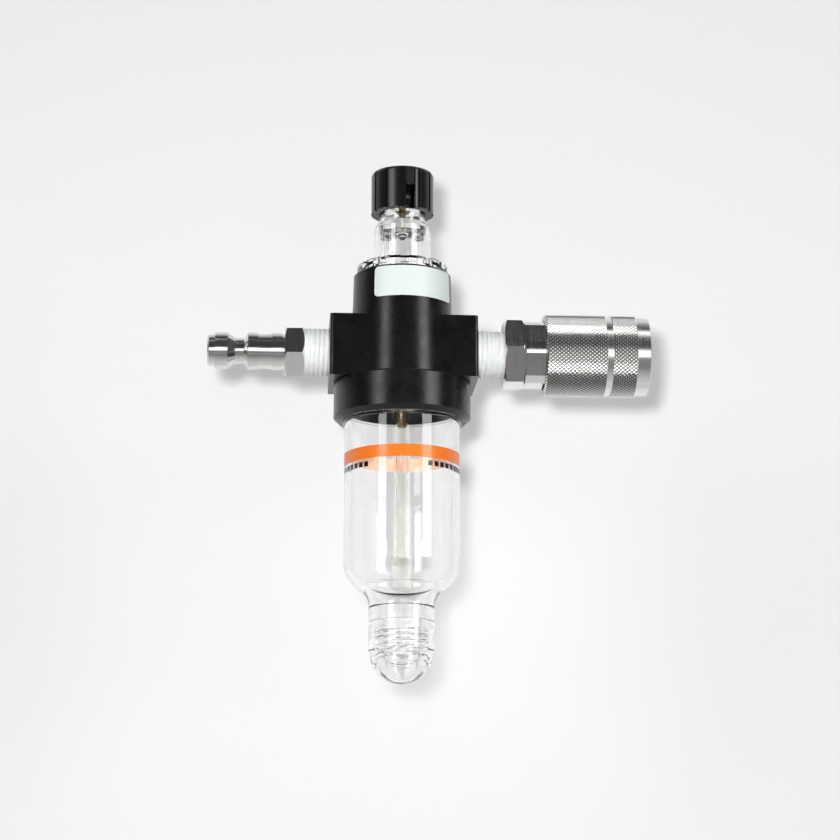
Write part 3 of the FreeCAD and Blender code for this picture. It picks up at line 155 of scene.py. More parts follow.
world = bpy.data.worlds.new("studio")
bpy.context.scene.world = world
world.use_nodes = True
tree = world.node_tree
tree.nodes.clear()
rays = add(tree, "LightPath")
seen = add(tree, "Math", {
    0: rays.outputs["Is Camera Ray"], 1: rays.outputs["Is Transmission Ray"]}, operation="MAXIMUM")
heading = add(tree, "SeparateXYZ", {0: add(tree, "TexCoord").outputs["Generated"]})
behind = add(tree, "MapRange", {
    "Value": heading.outputs["Y"], "From Min": -0.1, "From Max": 0.3,
    "To Min": FRONT_ROOM, "To Max": BACK_ROOM})
below = add(tree, "MapRange", {
    "Value": heading.outputs["Z"], "From Min": -0.25, "From Max": -0.55,
    "To Min": 0.0, "To Max": GROUND_ROOM})
room = add(tree, "Math", {0: behind.outputs[0], 1: below.outputs[0]}, operation="ADD")
mirrored = add(tree, "Math", {0: rays.outputs["Is Glossy Ray"], 1: room.outputs[0]}, operation="MULTIPLY")
share = add(tree, "Math", {0: seen.outputs[0], 1: mirrored.outputs[0]}, operation="MAXIMUM")
pale = add(tree, "Background", {"Color": colour(PAPER), "Strength": share.outputs[0]})
dim = add(tree, "Background", {"Color": colour("D9DDE2"), "Strength": MATTE_ROOM})
dull = add(tree, "MixShader", {0: rays.outputs["Is Diffuse Ray"], 1: pale.outputs[0], 2: dim.outputs[0]})
add(tree, "OutputWorld", {"Surface": dull.outputs[0]})


def paper_finish(name, glow, matte, mirror_near, mirror_far):
    """Pale paper, seen from its front only. Glow and matte are how much it shines and
    reflects; mirror is its share of that in polished metal, in front of and behind the object."""
    mat = bpy.data.materials.new(name)
    mat.use_nodes = True
    tree = mat.node_tree
    tree.nodes.clear()
    rays = add(tree, "LightPath")
    depth = add(tree, "SeparateXYZ", {0: add(tree, "TexCoord").outputs["Object"]})
    mirror = add(tree, "MapRange", {
        "Value": depth.outputs["Y"], "From Min": MIRROR_NEAR_Y, "From Max": MIRROR_FAR_Y,
        "To Min": mirror_near, "To Max": mirror_far})
    seen = add(tree, "MapRange", {
        "Value": rays.outputs["Is Glossy Ray"], "To Min": 1.0, "To Max": mirror.outputs[0]})
    direct = add(tree, "MapRange", {"Value": rays.outputs["Is Diffuse Ray"], "To Min": glow, "To Max": 0.0})
    strength = add(tree, "Math", {0: seen.outputs[0], 1: direct.outputs[0]}, operation="MULTIPLY")
    tone = add(tree, "Math", {0: seen.outputs[0], 1: matte}, operation="MULTIPLY")
    grey = add(tree, "CombineColor", {0: tone.outputs[0], 1: tone.outputs[0], 2: tone.outputs[0]})
    sheet = add(tree, "AddShader", {
        0: add(tree, "BsdfDiffuse", {"Color": grey.outputs[0]}).outputs[0],
        1: add(tree, "Emission", {"Color": colour(PAPER), "Strength": strength.outputs[0]}).outputs[0]})
    back = add(tree, "NewGeometry").outputs["Backfacing"]
    open_to = add(tree, "Math", {0: back, 1: rays.outputs["Is Shadow Ray"]}, operation="MAXIMUM")
    front = add(tree, "MixShader", {
        0: open_to.outputs[0], 1: sheet.outputs[0], 2: add(tree, "BsdfTransparent").outputs[0]})
    add(tree, "OutputMaterial", {"Surface": front.outputs[0]})
    return mat


def paper_sheet(name, turn, place, mat):
    """One flat square sheet of paper that faces the object."""
    bm = bmesh.new()
    bmesh.ops.create_grid(bm, x_segments=1, y_segments=1, size=SHEET / 2 * MM)
    bmesh.ops.transform(bm, matrix=Matrix.Translation(Vector(place) * MM) @ turn, verts=bm.verts)
    mesh = bpy.data.meshes.new(name)
    bm.to_mesh(mesh)
    bm.free()
    mesh.materials.append(mat)
    sheet_object = bpy.data.objects.new(name, mesh)
    bpy.context.scene.collection.objects.link(sheet_object)
    sheet_object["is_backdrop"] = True


wall_paper = paper_finish("wall_paper", glow=0.07, matte=0.80, mirror_near=1.0, mirror_far=1.0)
floor_paper = paper_finish("floor_paper", glow=0.60, matte=0.22, mirror_near=0.25, mirror_far=1.0)
paper_sheet("paper_wall", QUARTER_TURN, (AXIS_X, PAPER_BEHIND, FLOOR_BELOW + SHEET / 2), wall_paper)
paper_sheet("paper_floor", Matrix.Identity(4), (AXIS_X, PAPER_BEHIND - SHEET / 2, FLOOR_BELOW), floor_paper)
print("wall and floor of", PAPER, "paper")


# %% [markdown]
# ## Lamps
# A lamp's watts say little about how bright it looks, because a large lamp
# spreads them. Here each lamp is given by how bright its face looks, and the
# watts are worked out from its size. Four white cards, above and below the soft
# boxes, show only as reflections, which the many small faces of the knurl need.
# A small lamp beside the camera throws the shadow on the paper: the smaller a
# lamp is, the sharper is the shadow's edge.

# %% Place the lamps
def soft_box(name, turn, rise, distance, width, height, radiance, in_mirrors=True):
    """A rectangular lamp, turned and raised by degrees from the object's front; sizes in metres."""
    lamp = bpy.data.lights.new(name, "AREA")
    lamp.shape = "RECTANGLE"
    lamp.size = width
    lamp.size_y = height
    lamp.energy = radiance * math.pi * width * height
    lamp_object = bpy.data.objects.new(name, lamp)
    bpy.context.scene.collection.objects.link(lamp_object)
    turn, rise = math.radians(turn), math.radians(rise)
    lamp_object.location = AIM + distance * Vector((
        math.sin(turn) * math.cos(rise), -math.cos(turn) * math.cos(rise), math.sin(rise)))
    lamp_object.rotation_euler = (AIM - lamp_object.location).to_track_quat("-Z", "Y").to_euler()
    lamp_object.visible_glossy = in_mirrors
    lamp_object.visible_camera = False
    return lamp_object


soft_box("soft_box_left", turn=-42, rise=13, distance=1.0, width=0.28, height=0.42, radiance=5.2)
soft_box("soft_box_right", turn=47, rise=13, distance=1.0, width=0.34, height=0.42, radiance=6.2)
soft_box("front_panel", turn=4, rise=-9, distance=1.3, width=0.60, height=0.78, radiance=1.8)
shadow_lamp = soft_box(
    "shadow_lamp", turn=0, rise=0, distance=1.0, width=0.022, height=0.022, radiance=2650,
    in_mirrors=False)
shadow_lamp.location = camera.location + Vector((-20, 0, 24)) * MM
shadow_lamp.rotation_euler = (AIM - shadow_lamp.location).to_track_quat("-Z", "Y").to_euler()
for level, rise in (("high", 48), ("low", -42)):
    for side, turn in (("left", -40), ("right", 44)):
        card = soft_box(
            "card_" + level + "_" + side, turn, rise, distance=1.1, width=0.55, height=0.75, radiance=1.6)
        card.visible_diffuse = False
print("four lamps and four cards")


# %% [markdown]
# ## Finishes
# Every finish starts from the real one: what it is made of and how its surface
# came about. Pattern sizes are real sizes in millimetres. `surface` makes the
# shader with its fixed values, and `grain` gives a fine noise whose lumps have
# a stated size and may be drawn out along an axis, as turning marks are. A flat
# colour never looks real, so `vary` lets such patterns change a finish a little:
# its colour, its gloss and its height.

# %% Finish helpers
NOISE_LOW = 0.3      # fine noise seldom leaves this range
NOISE_HIGH = 0.7
MIX_FIRST = 6        # the Mix node's colour sockets, by number because its sockets share names
MIX_SECOND = 7
MIX_RESULT = 2


def surface(name, **values):
    """A material with a Principled shader whose constant sockets are set directly."""
    mat = bpy.data.materials.new(name)
    mat.use_nodes = True
    shader = mat.node_tree.nodes["Principled BSDF"]
    for socket, value in values.items():
        shader.inputs[socket.replace("_", " ")].default_value = value
    return mat, mat.node_tree, shader


def grain(tree, size, stretch=(1, 1, 1), detail=3.0):
    """Noise on the object's own coordinates; size is one lump in mm."""
    place = add(tree, "TexCoord")
    scaled = add(tree, "Mapping", {
        "Vector": place.outputs["Object"],
        "Scale": [1 / (size * MM * s) for s in stretch]})
    return add(tree, "TexNoise", {
        "Vector": scaled.outputs[0], "Scale": 1.0, "Detail": detail, "Roughness": 0.55}).outputs["Fac"]


def vary(tree, shader, tone, colours, gloss, rough, height=None, depth=0.0):
    """Let patterns vary the colour, the roughness and, by depth in mm, the surface's height."""
    mix = add(tree, "Mix", {
        "Factor": tone, MIX_FIRST: colour(colours[0]), MIX_SECOND: colour(colours[1])}, data_type="RGBA")
    tree.links.new(mix.outputs[MIX_RESULT], shader.inputs["Base Color"])
    spread = add(tree, "MapRange", {
        "Value": gloss, "From Min": NOISE_LOW, "From Max": NOISE_HIGH,
        "To Min": rough[0], "To Max": rough[1]})
    tree.links.new(spread.outputs[0], shader.inputs["Roughness"])
    if depth:
        bump = add(tree, "Bump", {"Height": height, "Distance": depth * MM, "Strength": 1.0})
        tree.links.new(bump.outputs[0], shader.inputs["Normal"])


print("ready: surface, grain and vary")


# %% [markdown]
# ## Metals
# Plug and coupler are turned steel with nickel plate: mirror-like, a little
# warm, with fine turning marks that run round the air line. A mark could be
# painted as a dark line, but what the eye sees is a change of gloss, so the
# marks drive the roughness. They are about 0.1 mm apart on the real part and
# drawn at 0.3 mm, so that they still show. Balls are ground, so their grain has
# no direction. Spring wire is drawn and duller, and the brass of the screw has
# gone brown.

# %% Plate, steel and brass
TURNING_PITCH = 0.3      # mm


def turned_metal(name, colours, rough, stretch=(1, 60, 60)):
    """Metal whose gloss varies along its working marks; stretch draws them out."""
    mat, tree, shader = surface(name, Metallic=1.0)
    marks = grain(tree, TURNING_PITCH, stretch)
    clouds = grain(tree, 4.0)
    vary(tree, shader, clouds, colours, marks, rough, marks, 0.004)
    return mat


plated_steel = turned_metal("nickel_plated_turned_steel", ("D3D2D0", "EAE9E7"), (0.10, 0.20))
sleeve_plate = turned_metal("nickel_plated_knurl", ("DCDBD9", "F0EFED"), (0.16, 0.26))
ball_steel = turned_metal("ground_bearing_steel", ("B2B4B8", "C9CACC"), (0.06, 0.12), (1, 1, 1))
spring_steel = turned_metal("drawn_spring_steel", ("6F6D6A", "8E8C88"), (0.28, 0.42), (1, 1, 1))
brass = turned_metal("turned_brass", ("6A5230", "8F7142"), (0.22, 0.40), (20, 20, 1))
# Shade is painted into the grooves between the knurl's diamonds, which lie in shade: the base colour
# darkens towards their low points.
tree = sleeve_plate.node_tree
shader = tree.nodes["Principled BSDF"]
bright = shader.inputs["Base Color"].links[0].from_socket
groove = add(tree, "Attribute", attribute_name="groove")
shade = add(tree, "MapRange", {"Value": groove.outputs["Fac"], "From Min": 0.55, "From Max": 1.0})
painted_groove_shade = add(tree, "Mix", {
    "Factor": shade.outputs[0], MIX_FIRST: bright, MIX_SECOND: colour("3A3A3B")}, data_type="RGBA")
tree.links.new(painted_groove_shade.outputs[MIX_RESULT], shader.inputs["Base Color"])
print("metals:", plated_steel.name, sleeve_plate.name, ball_steel.name, spring_steel.name, brass.name)


# %% [markdown]
# ## Black paint, nylon and rubber
# The casting is zinc with a baked black coat: deep black, half gloss, with the
# faint orange peel of sprayed paint, whose dimples are about half a mm wide.
# The knob is moulded glass-filled nylon, with the fine sparkle of a
# spark-eroded mould, 0.15 mm drawn at 0.3 mm. The rings are rubber, which is
# dull and slightly rough. Three blacks side by side are told apart only by
# their gloss and their grain, so each has its own.

# %% Three blacks
casting_black, tree, shader = surface("baked_black_coat", IOR=1.45)
peel = grain(tree, 0.55, detail=2.0)
dust = grain(tree, 3.5, detail=4.0)
vary(tree, shader, dust, ("020202", "070708"), dust, (0.25, 0.33), peel, 0.012)

knob_nylon, tree, shader = surface("moulded_black_nylon", IOR=1.53)
sparkle = grain(tree, 0.3, detail=2.0)
flow = grain(tree, 3.0)
vary(tree, shader, flow, ("08080A", "111114"), sparkle, (0.18, 0.28), sparkle, 0.02)

rubber, tree, shader = surface("nitrile_rubber", IOR=1.52)
skin = grain(tree, 0.25)
vary(tree, shader, skin, ("121212", "1E1E1F"), skin, (0.50, 0.68), skin, 0.01)
print("blacks:", casting_black.name, knob_nylon.name, rubber.name)


# %% [markdown]
# ## Clear plastics
# Moulded clear polycarbonate is nearly as clear as glass, with a higher index
# and a very slight waviness from the mould. The nylon dome is a little less
# clear. The drip insert and the siphon tube lie behind those clear walls and
# hardly show in the picture, so their index is lower than nylon's own 1.53,
# which softens their edges. The filter is plastic beads 0.4 mm wide, fused
# together, so it is milky, and its index is low for the same reason.

# %% Bowl, dome, insert, tube and filter
def lets_lamps_through(tree, shader, tint):
    """Clear plastic casts hardly any shadow, so lamps reach what is behind it."""
    rays = add(tree, "LightPath")
    through = add(tree, "BsdfTransparent", {"Color": colour(tint)})
    mixed = add(tree, "MixShader", {
        0: rays.outputs["Is Shadow Ray"], 1: shader.outputs[0], 2: through.outputs[0]})
    tree.links.new(mixed.outputs[0], tree.nodes["Material Output"].inputs["Surface"])


def clear_plastic(name, tint, ior, rough, wave):
    """Clear plastic; wave is how wide its ripples are in mm."""
    mat, tree, shader = surface(name, IOR=ior, Transmission_Weight=1.0)
    ripple = grain(tree, wave, detail=1.0)
    vary(tree, shader, ripple, (tint, "FFFFFF"), ripple, rough, ripple, 0.003)
    lets_lamps_through(tree, shader, "E6E7E7")
    return mat


bowl_clear = clear_plastic("clear_polycarbonate", "FAFBFB", ior=1.585, rough=(0.0, 0.03), wave=4.0)
dome_clear = clear_plastic("clear_moulded_nylon", "F6F7F5", ior=1.53, rough=(0.01, 0.05), wave=2.5)
insert_clear = clear_plastic("moulded_clear_insert", "F6F7F5", ior=1.28, rough=(0.01, 0.05), wave=2.0)
siphon_nylon = clear_plastic("natural_nylon_tube", "F6F3EA", ior=1.20, rough=(0.02, 0.06), wave=6.0)

BEAD = 0.4              # mm
porous, tree, shader = surface("sintered_filter", IOR=1.12, Transmission_Weight=0.92)
place = add(tree, "TexCoord")
beads = add(tree, "TexVoronoi", {"Vector": place.outputs["Object"], "Scale": 1 / (BEAD * MM)})
bead = beads.outputs["Distance"]
vary(tree, shader, bead, ("FFFFFD", "EFEEE8"), bead, (0.25, 0.45), bead, -0.02)
print("clear:", bowl_clear.name, dome_clear.name, insert_clear.name, siphon_nylon.name, porous.name)


# %% [markdown]
# ## Tape, label and ink
# Thread seal tape is stretched white film, with a soft sheen and fine pulls
# along it. The label is bare satin white vinyl, with a faint paper-like
# tooth. Screen-printed ink is opaque and satin, with slightly uneven cover. Ink
# could be painted into the bowl's own finish, but then it would be as clear as
# the bowl, so it is a finish of its own.

# %% White film, vinyl and inks
tape_white, tree, shader = surface(
    "stretched_seal_tape", IOR=1.38, Subsurface_Weight=0.15, Subsurface_Scale=1.0 * MM)
pulls = grain(tree, 0.35, (1, 9, 9), detail=4.0)
vary(tree, shader, pulls, ("CFD0CE", "F6F6F4"), pulls, (0.28, 0.48), pulls, 0.06)

label_vinyl, tree, shader = surface("satin_white_vinyl", IOR=1.5)
tooth = grain(tree, 0.4)
vary(tree, shader, tooth, ("CBD3D0", "D8DFDC"), tooth, (0.38, 0.50), tooth, 0.006)


def printed_ink(name, colours):
    """Opaque satin ink with slightly uneven cover."""
    mat, tree, shader = surface(name, IOR=1.48)
    cover = grain(tree, 0.6)
    vary(tree, shader, cover, colours, cover, (0.14, 0.26))
    return mat


orange_ink = printed_ink("orange_screen_ink", ("E56F1E", "EF7D2B"))
# A paler copy of the orange ink, painted backlight for the band's inner face.
orange_ink_painted_backlight = printed_ink("orange_ink_painted_backlit", ("EFB093", "F5BFA4"))
black_ink = printed_ink("black_screen_ink", ("111112", "1B1B1C"))
print("film:", tape_white.name, label_vinyl.name)
print("ink:", orange_ink.name, orange_ink_painted_backlight.name, black_ink.name)


# %% [markdown]
# ## Dress the exact model
# Each part of the frame already names what it is made of. A table says which
# finish stands for each name, so no part has to be picked out by hand.

# %% Give every part its finish
finishes = {
    "plated_steel": plated_steel, "sleeve_plating": sleeve_plate, "ptfe_tape": tape_white,
    "black_casting": casting_black, "brass": brass, "clear_moulding": dome_clear,
    "clear_insert": insert_clear, "bowl_polycarbonate": bowl_clear, "rubber": rubber,
    "black_nylon": knob_nylon, "label_vinyl": label_vinyl, "bright_steel": ball_steel,
    "siphon_nylon": siphon_nylon, "porous_filter": porous, "spring_steel": spring_steel}
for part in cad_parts.values():
    for material_slot in part.material_slots:
        material_slot.material = finishes[material_slot.material.name.split(".")[0]]
print(len(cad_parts), "parts dressed in", len(finishes), "finishes")


# %% [markdown]
# ## Shaping helpers
# Most parts of a fitting are turned on a lathe. The same idea works here: an
# outline of a few corners is spun once round its axis. Corners that are round
# on the real part are bevelled in the outline first, because that rounds the
# whole turn at once.

# %% Spin an outline
def spot(corner, upright):
    """Place of an outline corner: (along, radius), or (radius, level) if upright, in mm."""
    return Vector((corner[0] + (AXIS_X if upright else 0.0), 0, corner[1])) * MM


def outline_mesh(corners, upright):
    """Closed outline of straight edges through the corners."""
    bm = bmesh.new()
    verts = [bm.verts.new(spot(corner, upright)) for corner in corners]
    for index, vert in enumerate(verts):
        bm.edges.new((vert, verts[(index + 1) % len(verts)]))
    return bm


def divide_side(bm, first, second, pieces, upright):
    """Cut the straight side between two corners into equal pieces."""
    ends = {tuple(round(c, 7) for c in spot(corner, upright)) for corner in (first, second)}
    side = [e for e in bm.edges if {tuple(round(c, 7) for c in v.co) for v in e.verts} == ends]
    bmesh.ops.subdivide_edges(bm, edges=side, cuts=pieces - 1)


def round_corner(bm, corner, size, segments, upright):
    """Round one corner of an outline; size is the length taken off each side in mm."""
    place = spot(corner, upright)
    vert = min(bm.verts, key=lambda v: (v.co - place).length)
    bmesh.ops.bevel(
        bm, geom=[vert], offset=size * MM, offset_type="OFFSET", segments=segments,
        profile=0.5, affect="VERTICES", material=-1, clamp_overlap=False)


def spin_round(bm, upright, steps):
    """Spin the outline a full turn, close seams and poles, and face it outwards."""
    centre = Vector((AXIS_X, 0, 0)) * MM if upright else Vector((0, 0, 0))
    axis = Vector((0, 0, 1)) if upright else Vector((1, 0, 0))
    bmesh.ops.spin(
        bm, geom=bm.verts[:] + bm.edges[:], cent=centre, axis=axis, dvec=(0, 0, 0),
        angle=2 * math.pi, steps=steps, use_merge=True, use_duplicate=False)
    bmesh.ops.remove_doubles(bm, verts=bm.verts, dist=1e-7)
    flat = [f for f in bm.faces if f.calc_area() < 1e-14]
    bmesh.ops.delete(bm, geom=flat, context="FACES_ONLY")
    bmesh.ops.recalc_face_normals(bm, faces=bm.faces)


def finish_piece(bm, name, mat, body, replaced=None, sharp=32.0):
    """Turn a bmesh into an object that rides on a body; edges over sharp degrees stay crisp."""
    bmesh.ops.recalc_face_normals(bm, faces=bm.faces)
    if bm.calc_volume(signed=True) < 0:
        bmesh.ops.reverse_faces(bm, faces=bm.faces)
    for face in bm.faces:
        face.smooth = True
    for edge in bm.edges:
        edge.smooth = len(edge.link_faces) == 2 and edge.calc_face_angle() < math.radians(sharp)
    mesh = bpy.data.meshes.new(name)
    bm.to_mesh(mesh)
    bm.free()
    mesh.materials.append(mat)
    piece = bpy.data.objects.new(name, mesh)
    bpy.context.scene.collection.objects.link(piece)
    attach(piece, body)
    if replaced:
        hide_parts(replaced)
    print(name, "has", len(mesh.polygons), "faces")
    return piece


print("ready: outline_mesh, divide_side, round_corner, spin_round and finish_piece")


# %% [markdown]
# ## The knurled sleeve
# A knurling tool rolls two sets of crossing grooves into the sleeve, which
# leaves small diamond pyramids. A bump map would stay smooth at the outline, so
# the diamonds are real: the two bands of the turned sleeve are divided into a
# fine grid, every second point is raised to a peak and the others less, and each
# cell is split between its two low points, where the groove runs.

# %% Turn and knurl the sleeve
KNURL_COLUMNS = 140         # half diamonds round the sleeve, 0.55 mm each
KNURL_DEPTH = 0.30
SLEEVE_R = 12.35
BAND_EDGE = 11.96           # radius of the blank that is knurled
LONG_BAND = (98.95, 116.7)
SHORT_BAND = (118.6, 125.75)
SLEEVE_ENDS = (98.6, 129.9)
SLEEVE_BORE = 10.45
LAND = (118.46, 120.36, 125.82)    # the land that holds the balls in, and its ramp
LAND_R = 8.0

bands = ((*LONG_BAND, 27), (*SHORT_BAND, 11))     # start and end along the line, rows
bm = outline_mesh([
    (SLEEVE_ENDS[0], SLEEVE_BORE), (SLEEVE_ENDS[0], 11.85), (LONG_BAND[0], BAND_EDGE),
    (LONG_BAND[1], BAND_EDGE), (LONG_BAND[1], 11.9), (SHORT_BAND[0], 11.9), (SHORT_BAND[0], BAND_EDGE),
    (SHORT_BAND[1], BAND_EDGE), (125.8, 11.8), (129.6, 11.8), (SLEEVE_ENDS[1], 11.5),
    (SLEEVE_ENDS[1], 10.75), (129.6, SLEEVE_BORE), (LAND[2], SLEEVE_BORE), (LAND[2], 9.7),
    (LAND[1], LAND_R), (LAND[0], LAND_R), (LAND[0], SLEEVE_BORE)], upright=False)
for start, end, rows in bands:
    divide_side(bm, (start, BAND_EDGE), (end, BAND_EDGE), rows, upright=False)
spin_round(bm, upright=False, steps=KNURL_COLUMNS)
low_points = []
# The groove layer marks the low points, where the sleeve's finish paints shade.
depth = bm.verts.layers.float.new("groove")
for vert in bm.verts:
    radius = math.hypot(vert.co.y, vert.co.z)
    if abs(radius - BAND_EDGE * MM) > 1e-6:
        continue
    for low, high, rows in bands:
        row = (vert.co.x / MM - low) / (high - low) * rows
        if -0.01 < row < rows + 0.01:
            column = round(math.atan2(vert.co.y, vert.co.z) / (2 * math.pi) * KNURL_COLUMNS)
            is_low = (round(row) + column) % 2 == 1
            if is_low:
                low_points.append(vert)
            target = SLEEVE_R - (KNURL_DEPTH if is_low else 0.0)
            vert.co.y *= target * MM / radius
            vert.co.z *= target * MM / radius
            vert[depth] = 1.0 if is_low else 0.0
split = bmesh.ops.connect_verts(bm, verts=low_points)
print(len(split["edges"]), "groove edges")
finish_piece(bm, "knurled_sleeve", sleeve_plate, "sleeve", "coupler_sleeve", sharp=12.0)


# %% [markdown]
# ## The clear bowl
# The bowl is one clear moulding: a thick-walled cylinder that draws in to a
# solid boss with a stepped well. The lower part of the well has a thread, whose
# rows show through the wall as dark lines. The bowl is spun from one closed
# outline, inside and outside together, so that light bends through a true wall.

# %% Spin the bowl
THREAD_TOP = -82.6
THREAD_BOTTOM = -92.2
THREAD_PITCH = 1.66
THREAD_DEPTH = 0.4
WELL_R = 5.4
WALL_R = 17.2
RIM_R = 17.95
RING_SEAT_R, RING_SEAT_TOP, RING_SEAT_FOOT = 16.1, -14.3, -16.0
# Corners that are rounded, as (radius, level)
RIM_INNER, RIM_OUTER, RIM_FOOT = (14.8, -13.2), (RIM_R, -13.2), (RIM_R, -22.2)
SHOULDER, BOSS_NECK, TIP = (WALL_R, -69.408), (9.75, -73.369), (9.4, -99.5)
FLOOR_EDGE, WELL_MOUTH, WELL_TIP = (14.8, -67.966), (7.35, -71.927), (4.6, -97.2)
UPPER_LEDGE, LEDGE_TOP, LEDGE_FOOT = (7.35, -76.8), (6.4, -76.8), (6.4, -81.0)

bm = outline_mesh([
    RIM_INNER, RIM_OUTER, (RIM_R, RING_SEAT_TOP), (RING_SEAT_R, RING_SEAT_TOP),
    (RING_SEAT_R, RING_SEAT_FOOT), (RIM_R, RING_SEAT_FOOT),
    RIM_FOOT, (WALL_R, -22.2), SHOULDER, BOSS_NECK, (9.75, -89.75), (9.4, -90.1),
    TIP, (0, -99.5), (0, -97.2), WELL_TIP, (4.6, -92.6), (WELL_R, -92.6),
    (WELL_R, THREAD_BOTTOM), (WELL_R, THREAD_TOP), (WELL_R, -81.0), LEDGE_FOOT, LEDGE_TOP,
    UPPER_LEDGE, WELL_MOUTH, FLOOR_EDGE], upright=True)
divide_side(bm, (WELL_R, THREAD_BOTTOM), (WELL_R, THREAD_TOP), 70, upright=True)
for corner, size, segments in (
        (SHOULDER, 5.408, 12), (BOSS_NECK, 3.03, 10), (TIP, 9.38, 16), (WELL_TIP, 4.58, 12),
        (WELL_MOUTH, 4.472, 10), (FLOOR_EDGE, 3.966, 10), (RIM_OUTER, 0.3, 2), (RIM_FOOT, 0.3, 2),
        (RIM_INNER, 0.3, 2), (LEDGE_TOP, 0.25, 3), (LEDGE_FOOT, 0.2, 3), (UPPER_LEDGE, 0.2, 3)):
    round_corner(bm, corner, size, segments, upright=True)
spin_round(bm, upright=True, steps=128)
for vert in bm.verts:
    x = vert.co.x - AXIS_X * MM
    radius = math.hypot(x, vert.co.y)
    level = vert.co.z / MM
    if abs(radius - WELL_R * MM) < 1e-6 and THREAD_BOTTOM + 0.01 < level < THREAD_TOP - 0.01:
        turn = math.atan2(vert.co.y, x) / (2 * math.pi)
        phase = (level / THREAD_PITCH - turn) % 1.0
        ridge = max(0.0, 1.0 - abs(phase - 0.5) * 4.0)
        fade = min(1.0, (THREAD_TOP - level) / 1.0, (level - THREAD_BOTTOM) / 1.0)
        shrink = 1.0 - THREAD_DEPTH * ridge * fade / WELL_R
        vert.co.x = AXIS_X * MM + x * shrink
        vert.co.y *= shrink
finish_piece(bm, "clear_bowl", bowl_clear, "bowl", "bowl")


# %% [markdown]
# ## Print on the bowl
# The bowl carries a plain orange band all round and a row of small black level
# marks on each side. Ink is a film on the plastic, so the band is a very thin
# ring just outside the wall, and each mark is a tiny plate of the same kind.

# %% Band and level marks
INK_INNER = 17.215
INK_OUTER = 17.245
BAND_LOW = -35.2
BAND_HIGH = -31.5
bm = outline_mesh([
    (INK_INNER, BAND_LOW), (INK_OUTER, BAND_LOW), (INK_OUTER, BAND_HIGH), (INK_INNER, BAND_HIGH)],
    upright=True)
spin_round(bm, upright=True, steps=128)
band = finish_piece(bm, "orange_band", orange_ink, "bowl")
# The ink is thin; its inner face, seen through the bowl, gets a paler copy of the ink, which is painted
# light: that face is drawn as if lit from behind.
band.data.materials.append(orange_ink_painted_backlight)
for face in band.data.polygons:
    outwards = Vector((face.center.x - AXIS_X * MM, face.center.y, 0))
    if face.normal.dot(outwards.normalized()) < -0.5:
        face.material_index = 1

MARK_SIZE = 1.5
MARK_THICKNESS = 0.03
MARK_LEVEL = -36.85
MARK_STEP = 7.0      # degrees from one mark to the next
MARK_ROWS = ((-82.5, 7), (25.5, 9))     # first mark's angle from the front, marks in the row
bm = bmesh.new()
for first, count in MARK_ROWS:
    for index in range(count):
        angle = math.radians(first + index * MARK_STEP)
        place = (Matrix.Translation(Vector((AXIS_X, 0, MARK_LEVEL)) * MM)
                 @ Matrix.Rotation(angle, 4, "Z")
                 @ Matrix.Translation(Vector((0, -INK_OUTER, 0)) * MM)
                 @ Matrix.Diagonal(Vector((MARK_SIZE, MARK_THICKNESS, MARK_SIZE, 1000)) * MM))
        bmesh.ops.create_cube(bm, size=1.0, matrix=place)
finish_piece(bm, "level_marks", black_ink, "bowl")


# %% [markdown]
# ## Sealing tape on the threads
# White tape is wound several times over each pipe thread before it is screwed
# in. It takes the shape of the thread under it, so it shows as soft ridges, and
# it wrinkles and overlaps. The tape is a thin turned sleeve whose outer wall
# rises over a helical thread, with noise that is the same in every run for the
# wrinkles.

# %% Wind the tape
TAPE_INNER = 6.62
TAPE_BASE = 6.78
TAPE_PITCH = 1.41     # eighteen threads to the inch
TAPE_STEP = 0.1       # from one ring of points to the next
LEAST_RISE = 0.02     # what the windings add everywhere
RIDGE_RISE = 0.32
FOLD_RISE = 0.09
CRINKLE_RISE = 0.06
LAP_RISE = 0.05
MOST_RISE = 0.42
END_FADE = 0.4        # length over which the rise comes up at each end


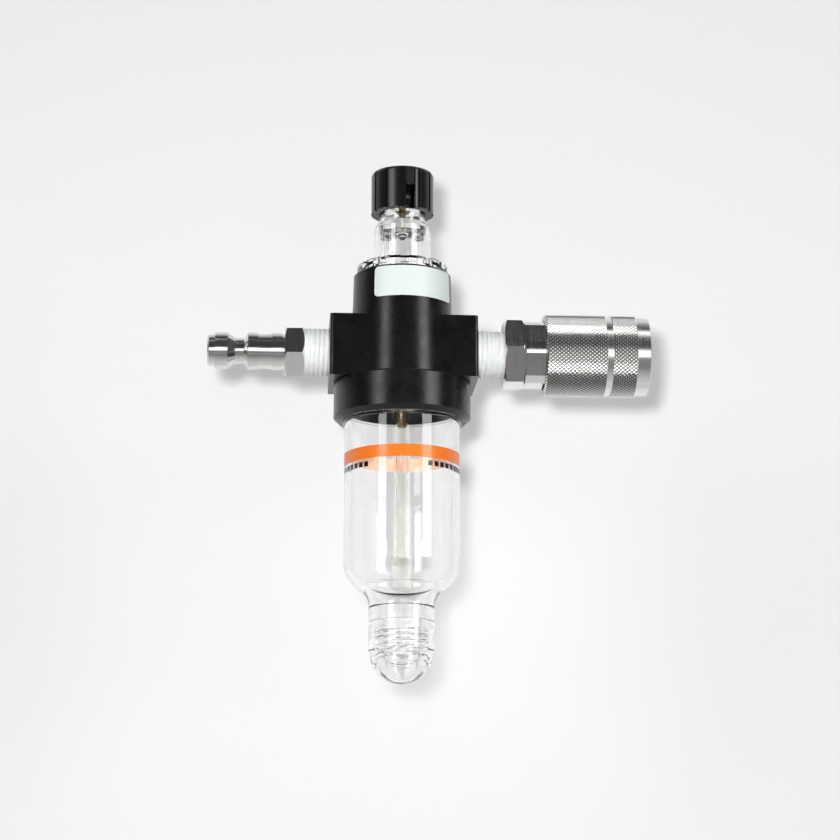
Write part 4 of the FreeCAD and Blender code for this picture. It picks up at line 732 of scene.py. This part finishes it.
def wound_tape(name, start, end, skew, replaced):
    """Tape wound on a thread from start to end; skew makes its wrinkles differ."""
    bm = outline_mesh(
        [(start, TAPE_INNER), (start, TAPE_BASE), (end, TAPE_BASE), (end, TAPE_INNER)], upright=False)
    divide_side(bm, (start, TAPE_BASE), (end, TAPE_BASE), round((end - start) / TAPE_STEP), upright=False)
    spin_round(bm, upright=False, steps=150)
    for vert in bm.verts:
        radius = math.hypot(vert.co.y, vert.co.z)
        if radius < (TAPE_BASE - 0.01) * MM:
            continue
        along = vert.co.x / MM
        turn = math.atan2(vert.co.y, vert.co.z) / (2 * math.pi)
        ridge = 0.5 + 0.5 * math.cos(2 * math.pi * (along / TAPE_PITCH - turn))
        across, up = vert.co.y / MM, vert.co.z / MM
        fold = noise.noise(Vector((along * 1.1 + skew * turn * 6.28, across * 0.5, up * 0.5)))
        crinkle = noise.noise(Vector((along * 2.6 - 9.0, across * 1.7, up * 1.7 + skew)))
        lap = (along * 0.28 + turn + skew) % 1.0
        rise = (LEAST_RISE + RIDGE_RISE * ridge + FOLD_RISE * fold
                + CRINKLE_RISE * crinkle + LAP_RISE * lap)
        fade = min(1.0, (along - start) / END_FADE + 0.3, (end - along) / END_FADE + 0.3)
        rise = min(max(rise, 0.0), MOST_RISE) * fade
        grow = 1.0 + rise / TAPE_BASE
        vert.co.y *= grow
        vert.co.z *= grow
    return finish_piece(bm, name, tape_white, "root", replaced, sharp=60.0)


wound_tape("inlet_tape", start=26.62, end=33.98, skew=0.35, replaced="inlet_thread_tape")
wound_tape("outlet_tape", start=78.02, end=86.28, skew=1.4, replaced="outlet_thread_tape")


# %% [markdown]
# ## The two springs
# A compression spring is wire wound on a mandrel. A circle is spun round the
# air line with a small step forwards each time, which draws the coil, and its
# ends are capped. Both springs are pressed shorter when their joint moves. The
# exact model's springs keep their length, and so do these, wound again here.

# %% Wind the springs
SPRING_TURNS = 4
SPRING_STEPS = 48        # per turn
SPRING_GAP = 0.05        # mm, between a spring's end and its seat
WIRE_SIDES = 12


def wound_spring(name, wire, replaced):
    """Coil of round wire in the room of its solid."""
    low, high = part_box(replaced)
    inset = (wire / 2 + SPRING_GAP) * MM
    wire_start = Matrix.Translation((low[0] + inset, 0, high[1] - inset)) @ QUARTER_TURN
    bm = bmesh.new()
    bmesh.ops.create_circle(bm, segments=WIRE_SIDES, radius=wire * MM / 2, matrix=wire_start)
    steps = SPRING_TURNS * SPRING_STEPS
    step = (high[0] - low[0] - 2 * inset) / steps
    bmesh.ops.spin(
        bm, geom=bm.verts[:] + bm.edges[:], cent=(0, 0, 0), axis=(1, 0, 0), dvec=(step, 0, 0),
        angle=2 * math.pi * SPRING_TURNS, steps=steps, use_merge=False, use_duplicate=False)
    bmesh.ops.holes_fill(bm, edges=[edge for edge in bm.edges if edge.is_boundary], sides=WIRE_SIDES)
    spring = finish_piece(bm, name, spring_steel, "root", replaced, sharp=60.0)
    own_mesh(spring)


wound_spring("sleeve_coil", wire=1.0, replaced="sleeve_spring")
wound_spring("valve_coil", wire=0.7, replaced="valve_spring")


# %% [markdown]
# ## Size of the dressed model
# The box of the dressed model is printed.

# %% Sizes and finish
low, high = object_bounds()
print("visual box from", [round(v / MM, 1) for v in low], "to", [round(v / MM, 1) for v in high])
